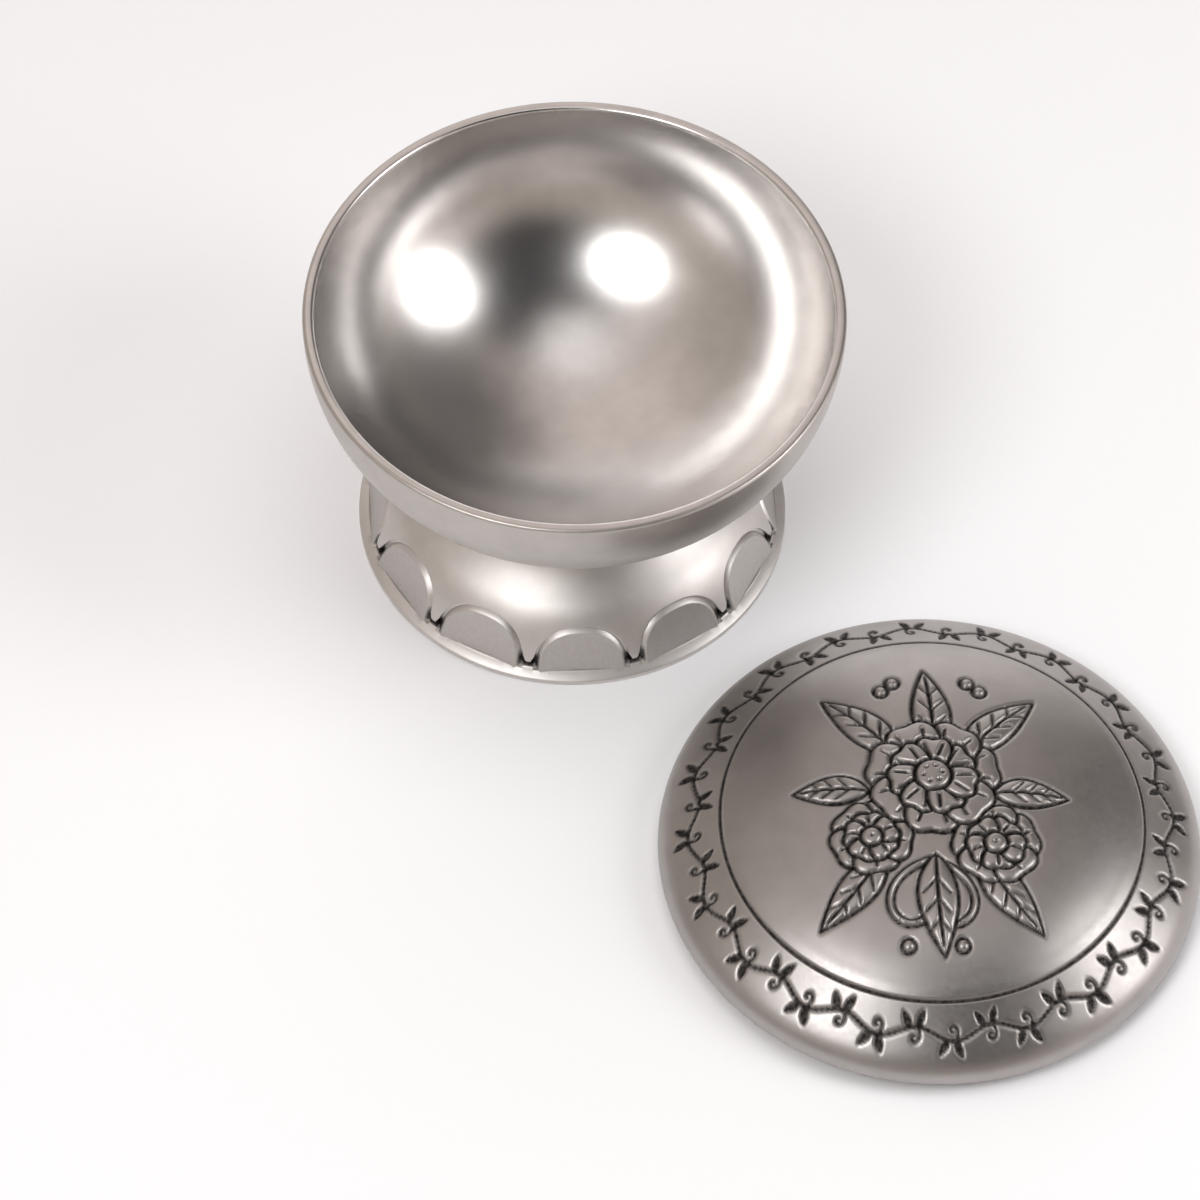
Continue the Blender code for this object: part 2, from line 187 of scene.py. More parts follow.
class LidSizes(bpy.types.PropertyGroup):
    """Sizes of the domed lid, its relief and its border."""

    radius: length_property("Radius", half_width_of("lid"), "Outside radius")
    stand: length_property("Stand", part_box("lid")[0].z, "Height of its lower edge as it lies")
    dome_height: length_property("Dome height", 12.8 * MM, "From the widest line up to the crown")
    fullness: bpy.props.FloatProperty(
        name="Fullness",
        default=1.82,
        description="Power of the dome's curve, 2 for an ellipse",
        min=1,
        max=4,
    )
    edge_height: length_property("Edge height", 1.0 * MM, "Height of the edge under the widest line")
    edge_inset: length_property("Edge inset", 0.7 * MM, "How far that edge is rounded in")
    groove_setback: length_property("Border width", 8.5 * MM, "From the outside in to the groove")
    groove_width: length_property("Groove width", 0.55 * MM, "Width of the ring cut round the medallion")
    groove_depth: length_property("Groove depth", 0.3 * MM, "Depth of that ring")
    medallion_swell: length_property("Medallion swell", 0.6 * MM, "Rise of the medallion over a plain dome")
    border_dip: length_property("Border dip", 0.6 * MM, "Dip of the border under a plain dome")
    line_width: length_property("Line width", 0.54 * MM, "Width of the dark lines of the ornament")
    line_depth: length_property("Line depth", 0.3 * MM, "Depth of those lines")
    crown_wall: length_property("Crown wall", 1.8 * MM, "Thickness at the crown")


class FixingSizes(bpy.types.PropertyGroup):
    """Sizes of the locating ring, the screw and the washer."""

    ring_thickness: length_property("Ring thickness", 1.5 * MM, "Wall of the lid's locating ring")
    ring_round: length_property("Ring round", 0.35 * MM, "Radius of the locating ring's lower edges")
    thread_radius: length_property("Thread radius", 2.0 * MM, "Over the crests of the screw's thread")
    thread_pitch: length_property("Thread pitch", 0.7 * MM, "Rise of one turn of the thread")
    slot_width: length_property("Slot width", 1.0 * MM, "Width of the slot in the screw's head")
    slot_depth: length_property("Slot depth", 1.0 * MM, "Depth of that slot")
    washer_hole: length_property("Washer hole", 2.3 * MM, "Radius of the washer's hole")


class PewterFinish(bpy.types.PropertyGroup):
    """Colours and gloss of the metals."""

    inside: colour_property("Inside pewter", "E2DFDD", "The bare, buffed metal inside the bowl")
    outside: colour_property("Outside pewter", "C1BCB7", "The satin metal outside")
    foot: colour_property("Foot pewter", "DAD6D3", "The satin metal of the foot")
    lid_bright: colour_property("Lid pewter", "B1ADAB", "The lid's bare metal under its thin patina")
    oxide: colour_property("Patina", "2C2A29", "The dark wash left in the recesses")
    zinc: colour_property("Zinc", "C4C8CC", "The plating of the screw and washer")
    inside_roughness: share_property("Inside roughness", 0.25, "Gloss of the buffed inside of the bowl")
    outside_roughness: share_property("Outside roughness", 0.40, "Gloss of the satin outside")
    foot_roughness: share_property("Foot roughness", 0.46, "Gloss of the foot")
    lid_roughness: share_property("Lid roughness", 0.39, "Gloss of the satin lid")


class StudioSettings(bpy.types.PropertyGroup):
    """The floor, the camera and the soft boxes."""

    floor: colour_property("Floor", "F9FAFD", "The pale floor")
    surround: colour_property("Surround", "C5BAB5", "The light that comes from all round")
    overhead: colour_property("Overhead", "E8E4E2", "The light that comes from straight above")
    back_wall: colour_property("Back wall", "FFFBF8", "The lit wall low behind the box")
    far_side: colour_property("Dark side", "141316", "The unlit side of the room beside the camera")
    dim_room: colour_property("Dim room", "A0978F", "The dim room on the left and behind the camera")
    corner: colour_property("Dark corner", "5C5856", "The unlit corner of the room behind on the right")
    surround_strength: bpy.props.FloatProperty(
        name="Surround strength", default=1.31, description="How strong the light from all round is", min=0
    )
    lens: bpy.props.FloatProperty(
        name="Lens", default=164.35, description="Focal length in mm on a 36 mm sensor", min=10, max=400
    )
    pitch: angle_property("Pitch", 55.24, "How far the camera looks down")
    roll: angle_property("Roll", 1.15, "How far the camera is tilted")
    key_power: power_property("Key light", 1.55, "Power of the soft box at the left")
    side_power: power_property("Side light", 1.55, "Power of the soft box at the right")
    fill_power: power_property("Floor light", 3.5, "Power of the light for the floor alone")


def deselect_all():
    """Leave edit mode and let go of everything, because each tool acts on all that is selected."""
    if bpy.context.object and bpy.context.object.mode != "OBJECT":
        bpy.ops.object.mode_set(mode="OBJECT")
    bpy.ops.object.select_all(action="DESELECT")


def pick(piece):
    """Select one piece alone and make it the active one."""
    deselect_all()
    piece.select_set(True)
    bpy.context.view_layer.objects.active = piece


def edit(piece):
    """Open one piece alone for editing."""
    pick(piece)
    bpy.ops.object.mode_set(mode="EDIT")


def edit_all(piece):
    """Open one piece alone for editing, with the whole of it selected."""
    edit(piece)
    bpy.ops.mesh.select_all(action="SELECT")


def drawn_line(name, points, closed=False):
    """Draw a line through (across, up) points in the XZ plane, by extruding one vertex along it."""
    deselect_all()
    across, up = points[0]
    bpy.ops.mesh.primitive_plane_add(size=MM, location=(across, 0, up))
    piece = bpy.context.object
    piece.name = name
    piece.data.name = name
    bpy.ops.object.transform_apply(location=True, rotation=True, scale=True)
    bpy.ops.object.mode_set(mode="EDIT")
    bpy.ops.mesh.select_all(action="SELECT")
    # A small plane merged into its middle is the line's first vertex.
    bpy.ops.mesh.merge(type="CENTER")
    track = list(points) + ([points[0]] if closed else [])
    for before, after in zip(track, track[1:]):
        step = (after[0] - before[0], 0, after[1] - before[1])
        bpy.ops.mesh.extrude_vertices_move(TRANSFORM_OT_translate={"value": step})
    bpy.ops.mesh.select_all(action="SELECT")
    if closed:
        bpy.ops.mesh.remove_doubles(threshold=MERGE_DISTANCE)
        bpy.ops.mesh.select_all(action="SELECT")
    return piece


def turned_piece(name, outline, steps, closed=False):
    """Turn an outline of (radius, height) points about the Z axis, as on a lathe."""
    piece = drawn_line(name, outline, closed)
    bpy.ops.object.mode_set(mode="OBJECT")
    wind(piece, steps, rise=0, turns=1)
    edit(piece)
    close_seams()
    bpy.ops.object.mode_set(mode="OBJECT")
    return piece


def wind(piece, steps, rise, turns):
    """Sweep a drawn line about the Z axis, with a rise for each turn."""
    bpy.ops.object.modifier_add(type="SCREW")
    winding = piece.modifiers[-1]
    winding.axis = "Z"
    winding.steps = winding.render_steps = steps
    winding.screw_offset = rise
    winding.iterations = turns
    winding.use_merge_vertices = True
    winding.merge_threshold = MERGE_DISTANCE
    bpy.ops.object.modifier_apply(modifier=winding.name)


def close_seams():
    """Merge what lies in one place and turn all faces outwards."""
    bpy.ops.mesh.select_all(action="SELECT")
    bpy.ops.mesh.remove_doubles(threshold=MERGE_DISTANCE)
    bpy.ops.mesh.normals_make_consistent(inside=False)


def repeat_round(piece, count):
    """Copy a piece's mesh round the Z axis, so that there are count of it in all."""
    edit_all(piece)
    bpy.ops.mesh.spin(
        steps=count - 1,
        dupli=True,
        angle=math.tau * (count - 1) / count,
        use_auto_merge=False,
        center=(0, 0, 0),
        axis=(0, 0, 1),
    )
    bpy.ops.object.mode_set(mode="OBJECT")


def join_by_boolean(piece, other, operation):
    """Cut another closed shape away from a piece, or fuse it on, and throw the other away."""
    pick(piece)
    bpy.ops.object.modifier_add(type="BOOLEAN")
    modifier = piece.modifiers[-1]
    modifier.object = other
    modifier.operation = operation
    modifier.solver = "EXACT"
    bpy.ops.object.modifier_apply(modifier=modifier.name)
    bpy.data.objects.remove(other, do_unlink=True)


def stand_on(piece, axis):
    """Move a finished mesh to its axis, so that the object itself stays at the origin."""
    edit_all(piece)
    bpy.ops.transform.translate(value=axis)
    bpy.ops.object.mode_set(mode="OBJECT")


def smooth(piece, degrees):
    """Shade smooth, and keep edges sharper than an angle crisp."""
    pick(piece)
    bpy.ops.object.shade_smooth_by_angle(angle=math.radians(degrees))


def hand_over(piece, node, body, slot, *metals):
    """Let a finished piece stand for its CAD part, ride on its body and take its metals."""
    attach(piece, body)
    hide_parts(node)
    for metal in metals:
        piece.data.materials.append(metal)


def places_of(piece):
    """All vertex places of a piece, one row each."""
    places = np.empty(len(piece.data.vertices) * 3)
    piece.data.vertices.foreach_get("co", places)
    return places.reshape(-1, 3)


def set_places(piece, places):
    piece.data.vertices.foreach_set("co", places.ravel())
    piece.data.update()


def set_patina_and_shade(piece, amount):
    """Keep how dark the patina is at each vertex, from 0 to 1, for the material to read, with the painted
    shade in the foot's creases.
    """
    layer = piece.data.attributes.new("patina", "FLOAT", "POINT")
    layer.data.foreach_set("value", np.clip(amount, 0, 1).astype(np.float32))


def fade(value, start, end):
    """From 0 at start to 1 at end, with soft ends."""
    share = np.clip((value - start) / (end - start), 0, 1)
    return share * share * (3 - 2 * share)


def arc(centre, radii, start, end, steps):
    """Points on part of an ellipse, with angles measured from +radius towards +height."""
    turns = np.linspace(start, end, steps + 1)
    return [
        (centre[0] + radii[0] * math.cos(turn), centre[1] + radii[1] * math.sin(turn))
        for turn in turns
    ]


def curve(controls, steps):
    """Points on a cubic curve through its first and last control points."""
    points = []
    for t in np.linspace(0, 1, steps + 1):
        weights = ((1 - t) ** 3, 3 * t * (1 - t) ** 2, 3 * t * t * (1 - t), t**3)
        points.append(tuple(sum(w * c[axis] for w, c in zip(weights, controls)) for axis in (0, 1)))
    return points


def cup_underside(bowl, radius):
    """Height of the bowl's outer surface at a radius."""
    centre = bowl.rim_height - bowl.lip_round
    return centre - bowl.depth * math.sqrt(1 - (radius / bowl.radius) ** 2)


def bowl_outline(bowl):
    """From the roof of the screw hole, out over the boss and the cup, and in to the floor."""
    quarter = math.pi / 2
    centre = bowl.rim_height - bowl.lip_round
    inner_radius = bowl.radius - bowl.lip_thickness
    inner_depth = bowl.depth - bowl.floor_thickness
    hole_top = centre - inner_depth - bowl.hole_roof
    start = math.asin(bowl.boss_radius / bowl.radius) - quarter
    lip = (bowl.lip_round, bowl.lip_round)
    return [
        (0, hole_top),
        (bowl.hole_radius, hole_top),
        (bowl.hole_radius, bowl.boss_end),
        (bowl.boss_radius, bowl.boss_end),
        *arc((0, centre), (bowl.radius, bowl.depth), start, 0, 64),
        *arc((bowl.radius - bowl.lip_round, centre), lip, 0, quarter, 5)[1:],
        *arc((inner_radius + bowl.lip_round, centre), lip, quarter, 2 * quarter, 5),
        *arc((0, centre), (inner_radius, inner_depth), 0, -quarter, 72)[1:],
    ]


class TRINKET_OT_add_bowl(bpy.types.Operator):
    """Add the cast bowl with its rounded lip and the boss under its floor"""

    bl_idname = "trinket.add_bowl"
    bl_label = "Add Bowl"

    def execute(self, context):
        sizes, finish = context.scene.trinket_bowl, context.scene.trinket_finish
        bowl = turned_piece("bowl_shell", bowl_outline(sizes), steps=256)
        smooth(bowl, 40)
        stand_on(bowl, BOWL_AXIS)
        outside = pewter(
            "satin_cast_pewter", finish.outside, finish.oxide, finish.outside_roughness, BOWL_AXIS
        )
        inside = pewter(
            "buffed_cast_pewter",
            finish.inside,
            finish.oxide,
            finish.inside_roughness,
            BOWL_AXIS,
            tooth=0.004,
        )
        hand_over(bowl, "bowl", "footed_bowl", "bowl_metal", outside, inside)
        paint_inside(bowl, sizes)
        return {"FINISHED"}


def paint_inside(bowl, sizes):
    """Give the faces inside the cup the second, buffed metal."""
    reach = sizes.radius - sizes.lip_thickness / 2
    for face in bowl.data.polygons:
        out = Vector((face.center.x - BOWL_AXIS.x, face.center.y - BOWL_AXIS.y))
        faces_in = (face.normal.z > 0 and out.length < reach) or out.dot(face.normal.xy) < 0
        if faces_in and face.center.z > sizes.boss_end + sizes.floor_thickness:
            face.material_index = 1


def flare_curve(foot, bowl):
    """The foot's outside from the tongue tips up to the neck, under the bowl."""
    foot_radius = foot.flange_radius - foot.tongue_setback
    low = foot.flange_height + foot.tongue_rise
    reach = foot_radius - foot.neck_radius
    rise = cup_underside(bowl, foot.neck_radius) - JOINT_GAP - low
    # Controls of two cubic curves, as shares of the reach out from the neck and of the rise.
    lower = ((1.0, 0.0), (0.892, 0.163), (0.750, 0.319), (0.550, 0.419))
    upper = ((0.550, 0.419), (0.300, 0.544), (0.0, 0.680), (0.0, 1.0))
    parts = []
    for shares in (lower, upper):
        controls = [(foot.neck_radius + out * reach, low + up * rise) for out, up in shares]
        parts.append(curve(controls, 28))
    return parts[0] + parts[1][1:]


def inside_of(line, wall):
    """A line of points moved in by the wall, square to itself, for the hollow of the foot."""
    moved = []
    for index, (radius, height) in enumerate(line):
        before = line[max(index - 1, 0)]
        after = line[min(index + 1, len(line) - 1)]
        run, rise = after[0] - before[0], after[1] - before[1]
        length = math.hypot(run, rise)
        moved.append((radius - wall * rise / length, height + wall * run / length))
    return moved


def foot_outline(foot, bowl):
    """Closed outline of the hollow foot: flange, flare, dished seat, web and inside."""
    flare = flare_curve(foot, bowl)
    web_top = bowl.rim_height - bowl.lip_round - bowl.depth - JOINT_GAP
    web_underside = web_top - foot.web
    web_hole = bowl.boss_radius + JOINT_GAP
    hollow = [point for point in inside_of(flare, foot.wall) if point[1] < web_underside][::3]
    radii = np.linspace(foot.neck_radius, web_hole, 12)[1:]
    seat = [(radius, cup_underside(bowl, radius) - JOINT_GAP) for radius in radii]
    # Radii of the flange's upper edge, its broken lower edge and the cove under the flare.
    edge, broken, cove = 0.3 * MM, 0.15 * MM, 0.35 * MM
    edge_middle = (foot.flange_radius - edge, foot.flange_edge - edge)
    cove_middle = (flare[0][0] + cove, foot.flange_height + cove)
    return [
        (foot.flange_radius - foot.rest_width, 0),
        (foot.flange_radius - broken, 0),
        (foot.flange_radius, broken),
        *arc(edge_middle, (edge, edge), 0, math.pi * 0.32, 6),
        *arc(cove_middle, (cove, cove), -math.pi / 2, -math.pi, 3),
        *flare,
        *seat,
        (web_hole, web_underside),
        (hollow[-1][0], web_underside),
        *reversed(hollow),
    ]


def arch_points(half_width, low, high, steps=56, squareness=PETAL_SQUARENESS):
    """A round topped arch from its right foot over to its left one."""
    points = []
    for turn in np.linspace(0, math.pi, steps + 1):
        across = math.copysign(abs(math.cos(turn)) ** (2 / squareness), math.cos(turn))
        up = abs(math.sin(turn)) ** (2 / squareness)
        points.append((half_width * across, low + (high - low) * up))
    return points


def block(name, outline, front, back):
    """Fill an outline drawn in the XZ plane and extrude it from front to back along Y."""
    piece = drawn_line(name, outline)
    bpy.ops.mesh.edge_face_add()
    bpy.ops.transform.translate(value=(0, front, 0))
    bpy.ops.mesh.extrude_region_move(TRANSFORM_OT_translate={"value": (0, back - front, 0)})
    close_seams()
    return piece


def round_front_edge(piece, width, low):
    """Bevel the edge of the front face all along its arch, and leave its foot square."""
    bpy.ops.mesh.select_mode(type="EDGE")
    bpy.ops.mesh.select_all(action="DESELECT")
    mesh = bmesh.from_edit_mesh(piece.data)
    front = min(vert.co.y for vert in mesh.verts)
    for edge in mesh.edges:
        in_front = all(abs(vert.co.y - front) < MERGE_DISTANCE for vert in edge.verts)
        at_foot = all(vert.co.z < low for vert in edge.verts)
        if in_front and not at_foot:
            edge.select = True
    bmesh.update_edit_mesh(piece.data)
    bpy.ops.mesh.bevel(offset=width, segments=6, profile=0.30, affect="EDGES", clamp_overlap=True)
    bpy.ops.mesh.select_mode(type="VERT")


def petal_stand(foot):
    """Takes a petal from its own frame, X across, Y in and Z up its face, to its place."""
    radius = foot.flange_radius - foot.petal_setback
    lean = math.atan2(foot.petal_lean, foot.petal_rise)
    place = Matrix.Translation((0, -radius, foot.flange_height - PETAL_SINK))
    return Matrix.Rotation(foot.petal_phase, 4, "Z") @ place @ Matrix.Rotation(-lean, 4, "X")


def set_round_foot(piece, foot):
    """Put a shape made in a petal's frame in its place, and repeat it for every petal."""
    bpy.ops.object.mode_set(mode="OBJECT")
    piece.data.transform(petal_stand(foot))
    repeat_round(piece, foot.petal_count)
    edit_all(piece)
    bpy.ops.mesh.normals_make_consistent(inside=False)
    bpy.ops.object.mode_set(mode="OBJECT")
    return piece


def petal_sizes(foot):
    """Half width at the foot of a petal, and its length up its face."""
    radius = foot.flange_radius - foot.petal_setback
    half_width = radius * math.tan(math.pi / foot.petal_count) - foot.petal_gap / 2
    return half_width, PETAL_SINK + math.hypot(foot.petal_lean, foot.petal_rise)


def petal_pockets(foot):
    """The cutter for the pockets in the flare that the petals lie in."""
    half_width, length = petal_sizes(foot)
    crease = foot.crease_width
    # The pocket's foot stays just over the flange's top, which it would cut otherwise.
    pocket_foot = 0.36 * MM
    arch = arch_points(half_width + crease, pocket_foot, length + crease)
    pocket = block("petal_pocket", arch, -2 * OVERRUN, foot.crease_depth)
    return set_round_foot(pocket, foot)


def pit_outline(foot):
    """A U round the tongue's tip, whose arms thin out where the tongue meets the petals."""
    tip = foot.tip_radius
    out = tip + foot.pit_width
    arm_rise, arm_end = 1.1 * MM, 0.06 * MM
    pit_drop, tip_drop = 0.62 * MM, 0.22 * MM
    low = [(across, -up) for across, up in arch_points(out, 0, pit_drop, 24, 3.0)]
    round_tip = [(across, -up) for across, up in arch_points(tip, 0, tip_drop, 12, 2.0)]
    arm = []
    for share in np.linspace(1, 0, 9):
        arm.append((tip + (out - arm_end - tip) * share**1.5, arm_rise * share))
    left_arm = [(-across, up) for across, up in arm]
    return [(out, arm_rise), *low, (-out, arm_rise), *left_arm, *round_tip[::-1][1:-1], *arm[::-1]]


def tongue_pits(foot):
    """The cutter for the pits, one round the tip of each tongue between two petals."""
    # A pit ends this far in from the flange's edge, and its tongue's tip is this high over it.
    front, depth, rise = -foot.flange_radius, 2.5 * MM, 1.3 * MM
    pit = block("tongue_pit", pit_outline(foot), front - OVERRUN, front + depth)
    bpy.ops.mesh.select_all(action="SELECT")
    bpy.ops.transform.translate(value=(0, 0, foot.flange_height + rise))
    bpy.ops.object.mode_set(mode="OBJECT")
    pit.data.transform(Matrix.Rotation(foot.petal_phase + math.pi / foot.petal_count, 4, "Z"))
    repeat_round(pit, foot.petal_count)
    return pit


def petal_ring(foot):
    """All the petals, each with a broad, broken edge and its foot buried in the flange."""
    half_width, length = petal_sizes(foot)
    buried = -0.5 * MM
    arch = [(half_width, buried), *arch_points(half_width, 0, length), (-half_width, buried)]
    petal = block("petal", arch, 0, foot.petal_thickness)
    round_front_edge(petal, foot.petal_round, buried + 0.1 * MM)
    return set_round_foot(petal, foot)


def in_petal_frame(foot, places):
    """Vertices in the frame of the petal that each is nearest to, and their bearings from it."""
    step = math.tau / foot.petal_count
    bearing = np.arctan2(places[:, 1], places[:, 0]) + math.pi / 2 - foot.petal_phase
    folded = (bearing + step / 2) % step - step / 2
    radius = np.hypot(places[:, 0], places[:, 1])
    heading = folded - math.pi / 2 + foot.petal_phase
    across, along = radius * np.cos(heading), radius * np.sin(heading)
    turned = np.stack([across, along, places[:, 2], np.ones(len(places))], axis=1)
    return turned @ np.array(petal_stand(foot).inverted()).T, folded


def petal_shade_and_film(foot, own, height):
    """A faint painted shadow in the crease round each petal, and a thin film on its flat field."""
    half_width, length = petal_sizes(foot)
    across, inward, up = own[:, 0] / half_width, own[:, 1], own[:, 2] / length
    arch = np.abs(across) ** PETAL_SQUARENESS + np.clip(up, 0, None) ** PETAL_SQUARENESS
    outside = (arch ** (1 / PETAL_SQUARENESS) - 1) * half_width
    # The painted shadow starts at the petal's outline, behind its round front edge, and fades
    # out on the flare. It leaves the flange and the inside of the foot bright.
    crease = fade(outside, -0.12 * MM, 0.02 * MM) * (1 - fade(outside, 0.2 * MM, 0.6 * MM))
    over_flange = fade(height, foot.flange_height, foot.flange_height + 1.2 * MM)
    crease *= fade(inward, 0.35 * MM, 0.7 * MM) * over_flange
    crease *= inward < 0.8 * foot.wall
    # The field is the flat front inside the round edge.
    field = fade(-outside, 0.6 * MM, 0.9 * MM) * (np.abs(inward) < 0.05 * MM)
    # Painted shade in the crease, and the film on the flat field.
    return np.maximum(CREASE_SHADE * crease, FIELD_PATINA * field)


def pit_patina(foot, folded, places):
    """Full patina in the pits, fading out just round them."""
    radius, height = np.hypot(places[:, 0], places[:, 1]), places[:, 2]
    from_tongue = np.abs(np.abs(folded) - math.pi / foot.petal_count) * radius
    pit = (1 - fade(from_tongue, 1.5 * MM, 2.0 * MM)) * (1 - fade(height, 3.0 * MM, 4.3 * MM))
    # The flange's top stays bright, and so does the tongue's own front over the pit.
    pit *= fade(height, foot.flange_height + 0.05 * MM, foot.flange_height + 0.3 * MM)
    front = foot.flange_radius - foot.tongue_setback - 0.35 * MM
    pit *= 1 - fade(radius + 0.45 * (height - 3.1 * MM), front - 0.1 * MM, front + 0.25 * MM)
    # Nothing is dark inside the hollow foot.
    pit *= radius > foot.flange_radius - foot.rest_width + 0.6 * MM
    return pit


def foot_patina_and_shade(foot, places):
    """How dark each vertex of the foot is, from 0 to 1: patina in the pits, a film on the petals' fields
    and painted shade in the creases.
    """
    own, folded = in_petal_frame(foot, places)
    return np.maximum(petal_shade_and_film(foot, own, places[:, 2]), pit_patina(foot, folded, places))


class TRINKET_OT_add_foot(bpy.types.Operator):
    """Add the flared foot with its ring of petals and the dark pits between them"""

    bl_idname = "trinket.add_foot"
    bl_label = "Add Foot"

    def execute(self, context):
        foot, finish = context.scene.trinket_foot, context.scene.trinket_finish
        outline = foot_outline(foot, context.scene.trinket_bowl)
        shell = turned_piece("foot_flare", outline, steps=30 * foot.petal_count, closed=True)
        join_by_boolean(shell, petal_pockets(foot), "DIFFERENCE")
        join_by_boolean(shell, tongue_pits(foot), "DIFFERENCE")
        join_by_boolean(shell, petal_ring(foot), "UNION")
        # The layer here also holds painted shade in the creases round the petals.
        set_patina_and_shade(shell, foot_patina_and_shade(foot, places_of(shell)))
        smooth(shell, 32)
        stand_on(shell, BOWL_AXIS)
        metal = pewter(
            "antiqued_cast_pewter",
            finish.foot,
            finish.oxide,
            finish.foot_roughness,
            BOWL_AXIS,
            tooth=0.008,
        )
        hand_over(shell, "pedestal_foot", "footed_bowl", "foot_metal", metal)
        return {"FINISHED"}


def groove_radius(lid):
    """Radius of the ring cut between the medallion and the border."""
    return lid.radius - lid.groove_setback


def widest_height(lid):
    """Height of the lid's widest line."""
    return lid.stand + lid.edge_height


def dome_height_at(lid, radius):
    """Height of the dome over its widest line: a fuller medallion in a straighter border."""
    share = np.clip(1 - (radius / lid.radius) ** lid.fullness, 0, 1)
    across = np.clip(radius / groove_radius(lid), 0, 1)
    outward = np.clip((radius - groove_radius(lid)) / lid.groove_setback, 0, 1)
    swell = 4 * lid.medallion_swell * (across**2 - across**4)
    dip = lid.border_dip * np.sin(math.pi * outward)
    return lid.dome_height * share ** (1 / lid.fullness) + (swell - dip)


def lid_heights(lid, radius):
    """The lid's top at a radius, with the ring groove and the soft shoulder inside it."""
    from_groove = radius - groove_radius(lid)
    cut = np.exp(-np.abs(from_groove / (lid.groove_width * 0.42)) ** 3)
    setback, width, rise = 1.35 * MM, 0.75 * MM, 0.04 * MM
    shoulder = np.exp(-(((from_groove + setback) / width) ** 2))
    top = widest_height(lid) + dome_height_at(lid, radius)
    return top - lid.groove_depth * cut + rise * shoulder


def medallion_grid(lid):
    """A square grid drawn out to a disc, so that its faces are alike in size all over."""
    deselect_all()
    bpy.ops.mesh.primitive_grid_add(x_subdivisions=GRID, y_subdivisions=GRID, size=2)
    disc = bpy.context.object
    disc.name = "lid_medallion"
    places = places_of(disc)
    across, along = places[:, 0], places[:, 1]
    reach = np.maximum(np.abs(across), np.abs(along))
    safe = np.maximum(reach, MERGE_DISTANCE)
    wide = np.abs(across) >= np.abs(along)
    turn = np.where(wide, along, across) / safe * math.pi / 4
    side = np.sign(np.where(wide, across, along))
    x = np.where(wide, side * np.cos(turn), np.sin(turn))
    y = np.where(wide, np.sin(turn), side * np.cos(turn))
    # The rings of faces widen a little on their way out, so they are finest in the flowers.
    radius = (0.84 * reach + 0.16 * reach**3) * medallion_edge(lid)
    set_places(disc, np.stack([radius * x, radius * y, lid_heights(lid, radius)], axis=1))
    return disc


def medallion_edge(lid):
    """Radius where the medallion's grid meets the turned border, just inside the groove."""
    return groove_radius(lid) - 1.3 * MM


def border_outline(lid):
    """From the medallion's edge, over the groove and the border, to the lid's lower edge."""
    groove_end = groove_radius(lid) + 0.7 * MM
    steep = lid.radius - STEEP_EDGE
    over_groove = np.linspace(medallion_edge(lid), groove_end, 16)[:-1]
    radii = np.concatenate([over_groove, np.linspace(groove_end, steep, 23)[:-1]])
    top = [(float(radius), float(height)) for radius, height in zip(radii, lid_heights(lid, radii))]
    power = 2 / lid.fullness
    start = math.asin((steep / lid.radius) ** (1 / power))
    for turn in np.linspace(start, math.pi / 2, 7):
        radius = lid.radius * math.sin(turn) ** power
        top.append((radius, widest_height(lid) + float(dome_height_at(lid, radius))))
    centre = (lid.radius - lid.edge_inset, widest_height(lid))
    return top + arc(centre, (lid.edge_inset, lid.edge_height), 0, -math.pi / 2, 5)[1:]


def ring_radius(bowl):
    """Outside radius of the locating ring, which drops inside the bowl's lip."""
    return bowl.radius - bowl.lip_thickness - RING_CLEARANCE


def underside_outline(lid, fixing, bowl):
    """From the flat lower edge, up into the ring's seat and over the hollow to its crown."""
    seat_height = lid.stand + RING_SEAT_DEPTH
    seat_radius = ring_radius(bowl) + JOINT_GAP
    hollow_radius = ring_radius(bowl) - fixing.ring_thickness - JOINT_GAP
    rise = widest_height(lid) + lid.dome_height - lid.crown_wall - seat_height
    power = 2 / lid.fullness
    points = [(seat_radius, lid.stand), (seat_radius, seat_height)]
    for turn in np.linspace(math.pi / 2, 0, 15):
        height = seat_height + rise * max(math.cos(turn), 0) ** power
        points.append((hollow_radius * math.sin(turn) ** power, height))
    return points


def distance_to(points, path, closed):
    """Distance of each point from a path of straight parts, and which points a closed one holds."""
    tiny = 1e-18  # keeps a part of no length from being divided by
    corners = np.asarray(path, float)
    ends = np.roll(corners, -1, axis=0) if closed else corners[1:]
    starts = corners if closed else corners[:-1]
    nearest = np.full(len(points), np.inf)
    inside = np.zeros(len(points), bool)
    for start, end in zip(starts, ends):
        span = end - start
        away = points - start
        share = np.clip(away @ span / max(span @ span, tiny), 0, 1)
        nearest = np.minimum(nearest, np.hypot(*(away - share[:, None] * span).T))
        if closed:
            crosses = (start[1] > points[:, 1]) != (end[1] > points[:, 1])
            at = start[0] + (points[:, 1] - start[1]) * span[0] / (span[1] if span[1] else tiny)
            inside ^= crosses & (points[:, 0] < at)
    return nearest, inside


